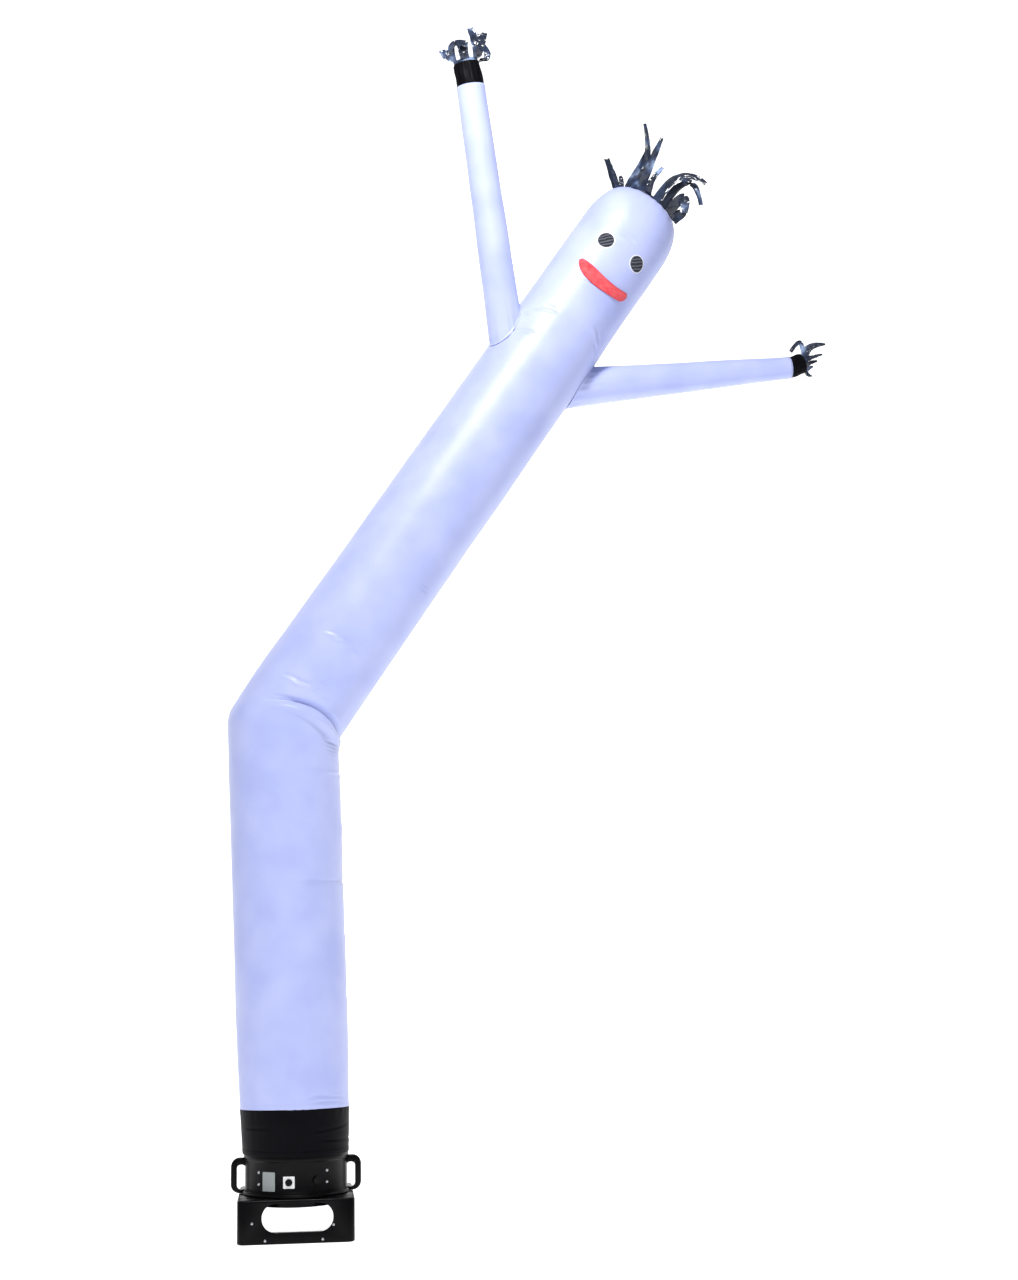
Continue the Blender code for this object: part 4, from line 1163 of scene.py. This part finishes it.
def prism_mesh(name, rings, material, angle=40):
    """A closed solid through rings of equal length."""
    count = len(rings[0])
    points = [p for ring in rings for p in ring]
    faces = grid_faces(len(rings), count)
    faces.append(tuple(reversed(range(count))))
    faces.append(tuple(range(len(points) - count, len(points))))
    return add_mesh(name, points, faces, material, angle)


def apply_modifiers(obj):
    graph = bpy.context.evaluated_depsgraph_get()
    mesh = bpy.data.meshes.new_from_object(obj.evaluated_get(graph))
    obj.modifiers.clear()
    obj.data = mesh
    return obj


def subtract(obj, cutter):
    change = obj.modifiers.new("cut", "BOOLEAN")
    change.operation = "DIFFERENCE"
    change.object = cutter
    apply_modifiers(obj)
    bpy.data.objects.remove(cutter, do_unlink=True)


def build_foot(material):
    """The square foot with its windows, rounded edges and a low rib round its top."""
    shell = rounded_rectangle(FOOT_SIZE, FOOT_SIZE, FOOT_CORNER)
    top = FOOT_HEIGHT
    levels = ((0.0, 0.004), (0.004, 0.0), (top - 0.006, 0.0), (top - 0.002, 0.0018), (top, 0.006))
    rings = []
    for z, inset in levels:
        scale = 1 - 2 * inset / FOOT_SIZE
        rings.append([(x * scale, y * scale, z) for x, y in shell])
    foot = prism_mesh("foot_shell", rings, material)
    inner = rounded_rectangle(FOOT_SIZE - 2 * FOOT_WALL, FOOT_SIZE - 2 * FOOT_WALL, FOOT_CORNER - FOOT_WALL)
    hollow = [[(x, y, z) for x, y in inner] for z in (FOOT_WALL, FOOT_HEIGHT - FOOT_WALL)]
    subtract(foot, prism_mesh("hollow", hollow, material))
    for side, middle, width, bottom, top, corner in WINDOWS:
        outline = rounded_rectangle(width, top - bottom, corner)
        ends = (0.0, -FOOT_SIZE) if side == "front" else (FOOT_SIZE, 0.0)
        rings = [[(middle + x, y, (bottom + top) / 2 + z) for x, z in outline] for y in ends]
        subtract(foot, prism_mesh("window", rings, material))
    half, start = FLOOR_NOTCH["width"] / 2, FLOOR_NOTCH["start"]
    outline = [(-half, start), (half, start), (half, FOOT_SIZE), (-half, FOOT_SIZE)]
    notch = [[(x, y, z) for x, y in outline] for z in (-FLOOR_NOTCH["top"], FLOOR_NOTCH["top"])]
    subtract(foot, prism_mesh("notch", notch, material))
    turns = np.linspace(0, 2 * math.pi, DRUM_COLUMNS, endpoint=False)
    duct = [[(DUCT_RADIUS * math.cos(t), DUCT_RADIUS * math.sin(t), z) for t in turns] for z in (0.09, 0.3)]
    subtract(foot, prism_mesh("duct", duct, material))
    foot.data.transform(BLOWER_TURN)
    return bevelled(foot, 0.0022)


def build_drum(material):
    """The round housing: two stepped flanges, a plain wall, a bead and the collar."""
    outer = list(DRUM_OUTLINE)
    inner = [(radius - DRUM_WALL, height) for radius, height in outer]
    return turned_piece("drum_shell", outer + inner[::-1], material)


def build_handle(name, side, material):
    """A bowed grip with rounded edges, its slot bounded by a slim lower bar."""
    wide, tall = HANDLE_OUT - HANDLE_IN, HANDLE_HIGH - HANDLE_LOW
    slot_low, slot_high = HANDLE_SLOT
    mid_height, mid_slot = (HANDLE_LOW + HANDLE_HIGH) / 2, (slot_low + slot_high) / 2
    middle = side * (HANDLE_OUT + HANDLE_IN) / 2
    outer = rounded_rectangle(wide, tall, HANDLE_CORNER, 10)
    half = HANDLE_DEEP / 2
    edge = HANDLE_EDGE
    rings = []
    for y, inset in ((half, edge), (half - edge * 0.3, edge * 0.3), (half - edge, 0.0),
                     (-half + edge, 0.0), (-half + edge * 0.3, edge * 0.3), (-half, edge)):
        x_scale, z_scale = 1 - 2 * inset / wide, 1 - 2 * inset / tall
        rings.append([(middle + x * x_scale, y, mid_height + z * z_scale) for x, z in outer])
    grip = prism_mesh("grip_" + name, rings, material, 50)
    slot = rounded_rectangle(wide - 2 * HANDLE_BAR, slot_high - slot_low, SLOT_CORNER, 10)
    rings = [[(middle + x, y, mid_slot + z) for x, z in slot] for y in (2 * half, -2 * half)]
    subtract(grip, prism_mesh("slot", rings, material))
    turns = np.linspace(0, 2 * math.pi, DRUM_COLUMNS, endpoint=False)
    rings = []
    for radius, height in DRUM_OUTLINE:
        rings.append([((radius + SEAT) * math.cos(t), (radius + SEAT) * math.sin(t), height) for t in turns])
    subtract(grip, prism_mesh("drum_envelope", rings, material))
    grip.data.transform(BLOWER_TURN)
    return bevelled(grip, 0.0022, 3, 50)


def drum_point(across, height, lift, radius=DRUM_RADIUS):
    turn = across / radius
    return ((radius + lift) * math.sin(turn), -(radius + lift) * math.cos(turn), height)


def plate_mesh(name, middle, height, width, tall, low, high, material, corner=0.003):
    """A plate that follows the drum's front, with a rim and rounded corners."""
    outline = rounded_rectangle(width, tall, corner, 4)
    rings = []
    for lift, scale in ((low, 1.0), (high - 0.0006, 1.0), (high, 0.97)):
        rings.append([drum_point(middle + x * scale, height + y * scale, lift) for x, y in outline])
    count = len(outline)
    points = [p for ring in rings for p in ring]
    faces = grid_faces(len(rings), count)
    faces.append(tuple(reversed(range(count))))
    obj = add_mesh(name, points, faces, material, 40)
    bm = bmesh.new()
    bm.from_mesh(obj.data)
    bm.verts.ensure_lookup_table()
    cap = bm.faces.new([bm.verts[len(points) - count + i] for i in range(count)])
    bmesh.ops.triangulate(bm, faces=[cap])
    bmesh.ops.recalc_face_normals(bm, faces=bm.faces)
    bm.to_mesh(obj.data)
    bm.free()
    return obj


def dome_mesh(name, place, normal, radius, height, material):
    """A low round head, such as a screw's, standing along a normal."""
    rings = []
    for share, lift in ((1.0, 0.0), (1.0, 0.45), (0.86, 0.8), (0.5, 1.0)):
        rings.append((radius * share, height * lift))
    side = unit(np.cross(normal, (0.0, 0.0, 1.0)))
    up = np.cross(normal, side)
    loops = []
    for r, lift in rings:
        loops.append([tuple(place + normal * lift + (side * math.cos(t) + up * math.sin(t)) * r)
                      for t in np.linspace(0, 2 * math.pi, 20, endpoint=False)])
    obj = prism_mesh(name, loops, material, 50)
    bm = bmesh.new()
    bm.from_mesh(obj.data)
    bmesh.ops.recalc_face_normals(bm, faces=bm.faces)
    bm.to_mesh(obj.data)
    bm.free()
    return obj


DRUM_SCREWS = (
    # across, height
    (-0.146, 0.2750),
    (-0.146, 0.2270),
    (0.158, 0.2790),
    (0.158, 0.2330),
)
FOOT_SCREWS = (
    # x, z
    (-0.178, 0.085),
    (-0.125, 0.016),
    (0.108, 0.016),
    (0.152, 0.072),
)


def build_screws(material):
    made = []
    for k, (across, height) in enumerate(DRUM_SCREWS):
        place = np.array(drum_point(across, height, 0.0002))
        normal = unit(place * np.array((1, 1, 0)))
        made.append(dome_mesh(f"drum_screw_{k}", place, normal, 0.0062, 0.0034, material))
    for k, (x, z) in enumerate(FOOT_SCREWS):
        place = np.array((x, -FOOT_SIZE / 2 - 0.0002, z))
        screw = dome_mesh(f"foot_screw_{k}", place, np.array((0.0, -1.0, 0.0)), 0.0055, 0.003, material)
        screw.data.transform(BLOWER_TURN)
        made.append(screw)
    return made


def build_stage():
    """A pale floor that curves up into a pale backdrop."""
    material, principled = new_material("stage_pale", (0.93, 0.93, 0.94, 1), 0.9, 0.1)
    principled.inputs["Emission Color"].default_value = (1.0, 1.0, 1.0, 1)
    principled.inputs["Emission Strength"].default_value = 0.85
    near, far, wide, tall, curve = -14.0, 9.0, 16.0, 16.0, 3.0
    profile = [(near, 0.0)]
    for k in range(13):
        t = math.pi / 2 * k / 12
        profile.append((far + curve * math.sin(t), curve - curve * math.cos(t)))
    profile.append((far + curve, tall))
    points = [(x, y, z) for y, z in profile for x in (-wide, wide)]
    faces = [(2 * k, 2 * k + 1, 2 * k + 3, 2 * k + 2) for k in range(len(profile) - 1)]
    stage = add_mesh("stage_floor", points, faces, material, 60)


def area_light(name, place, aim, size, power, colour=(1, 1, 1)):
    data = bpy.data.lights.new(name, "AREA")
    data.shape = "RECTANGLE"
    data.size, data.size_y = size
    data.energy = power
    data.color = colour
    obj = bpy.data.objects.new(name, data)
    obj.location = place
    obj.rotation_mode = "QUATERNION"
    obj.rotation_quaternion = (Vector(aim) - Vector(place)).to_track_quat("-Z", "Y")
    bpy.context.scene.collection.objects.link(obj)


def build_lights():
    world = bpy.data.worlds.new("soft_white")
    world.use_nodes = True
    background = world.node_tree.nodes["Background"]
    background.inputs["Color"].default_value = (0.96, 0.98, 1.0, 1)
    background.inputs["Strength"].default_value = 0.235
    bpy.context.scene.world = world
    area_light("key", (0.3, -3.6, 7.3), (0.7, 0.1, 3.2), (0.8, 0.8), 360, (1.0, 0.99, 0.97))


def build_camera():
    pitch, yaw, roll = CAMERA_PITCH, CAMERA_YAW, CAMERA_ROLL
    forward = Vector((math.sin(yaw) * math.cos(pitch), math.cos(yaw) * math.cos(pitch), math.sin(pitch)))
    level = Vector((math.cos(yaw), -math.sin(yaw), 0.0))
    upright = level.cross(forward)
    right = level * math.cos(roll) - upright * math.sin(roll)
    up = level * math.sin(roll) + upright * math.cos(roll)
    data = bpy.data.cameras.new("camera")
    data.lens = CAMERA_LENS
    data.sensor_width = CAMERA_SENSOR
    data.sensor_fit = "AUTO"
    camera = bpy.data.objects.new("camera", data)
    aim = Matrix((right, up, -forward)).transposed().to_4x4()
    camera.matrix_world = Matrix.Translation(CAMERA_PLACE) @ aim
    bpy.context.scene.collection.objects.link(camera)
    bpy.context.scene.camera = camera


def hold(piece, slot, *nodes):
    """The piece rides with the dancer and stands for its nodes, which it hides; the slot is not used."""
    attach(piece, "root")
    if nodes:
        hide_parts(*nodes)
    return piece


def main():
    scene = bpy.context.scene
    scene.view_settings.view_transform = "Standard"
    white = nylon_material("white_nylon_look", WHITE_NYLON, WHITE_NYLON_PAINTED_SHADE, 0.40, 0.42, 0.1)
    black = nylon_material("black_nylon_look", BLACK_NYLON, BLACK_NYLON_DEEP, 0.5, 0.05, 0.0, 0.5)
    strip = strip_material()
    plastic = plastic_material("black_plastic_look", BLACK_PLASTIC, 0.26, 0.10)
    grey = plastic_material("grey_plate_look", PLATE_GREY, 0.42, 0.4)
    pale = plastic_material("white_plate_look", PLATE_WHITE, 0.35, 0.4)
    metal, principled = new_material("screw_look", SCREW_METAL, 0.3)
    principled.inputs["Metallic"].default_value = 0.8
    red_thread, _ = new_material("mouth_thread_look", MOUTH_DEEP, 0.45)
    dark_thread, _ = new_material("eye_thread_look", (0.03, 0.032, 0.04, 1), 0.5)
    halo, _ = new_material("halo_thread_look", HALO, 0.5)

    body = hold(build_body(white), "white_nylon", "body_tube")
    for name in ARMS:
        arm = hold(build_arm(name, white), "white_nylon", "arm_" + name)
        cuff = hold(build_cuff(name, black), "black_nylon", "cuff_" + name)
        strips = hold(build_hand(name, strip), "strip_nylon", "fingers_" + name)
    hold(build_hair(strip), "strip_nylon", "hair_fringe")
    eye = eye_material()
    for name, _, _ in EYES:
        patch, threads = build_eye(name, eye, dark_thread, halo)
        hold(patch, "eye_mesh", name)
        for thread in threads:
            hold(thread, "eye_mesh")
    patch, rim = build_mouth(mouth_material(), red_thread)
    hold(patch, "mouth_red", "mouth")
    hold(rim, "mouth_red")
    sleeve = hold(build_sleeve(black), "black_nylon", "base_sleeve")

    hold(build_foot(plastic), "moulded_plastic", "blower_base")
    hold(build_drum(plastic), "moulded_plastic", "blower_drum")
    for name, side in (("left", -1), ("right", 1)):
        hold(build_handle(name, side, plastic), "moulded_plastic", "handle_" + name)
    for screw in build_screws(metal):
        hold(screw, "plate_grey")
    for node, finish, slot in (("blank_plate", grey, "plate_grey"), ("socket_plate", pale, "plate_white")):
        hold(plate_mesh(node + "_look", *PLATES[node], SEAT, PLATE_TOP, finish), slot, node)
    for node in ("inlet_ring", "socket_core", "round_gland"):
        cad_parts[node].data.materials.clear()
        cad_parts[node].data.materials.append(plastic)

    build_stage()
    build_lights()
    build_camera()


main()
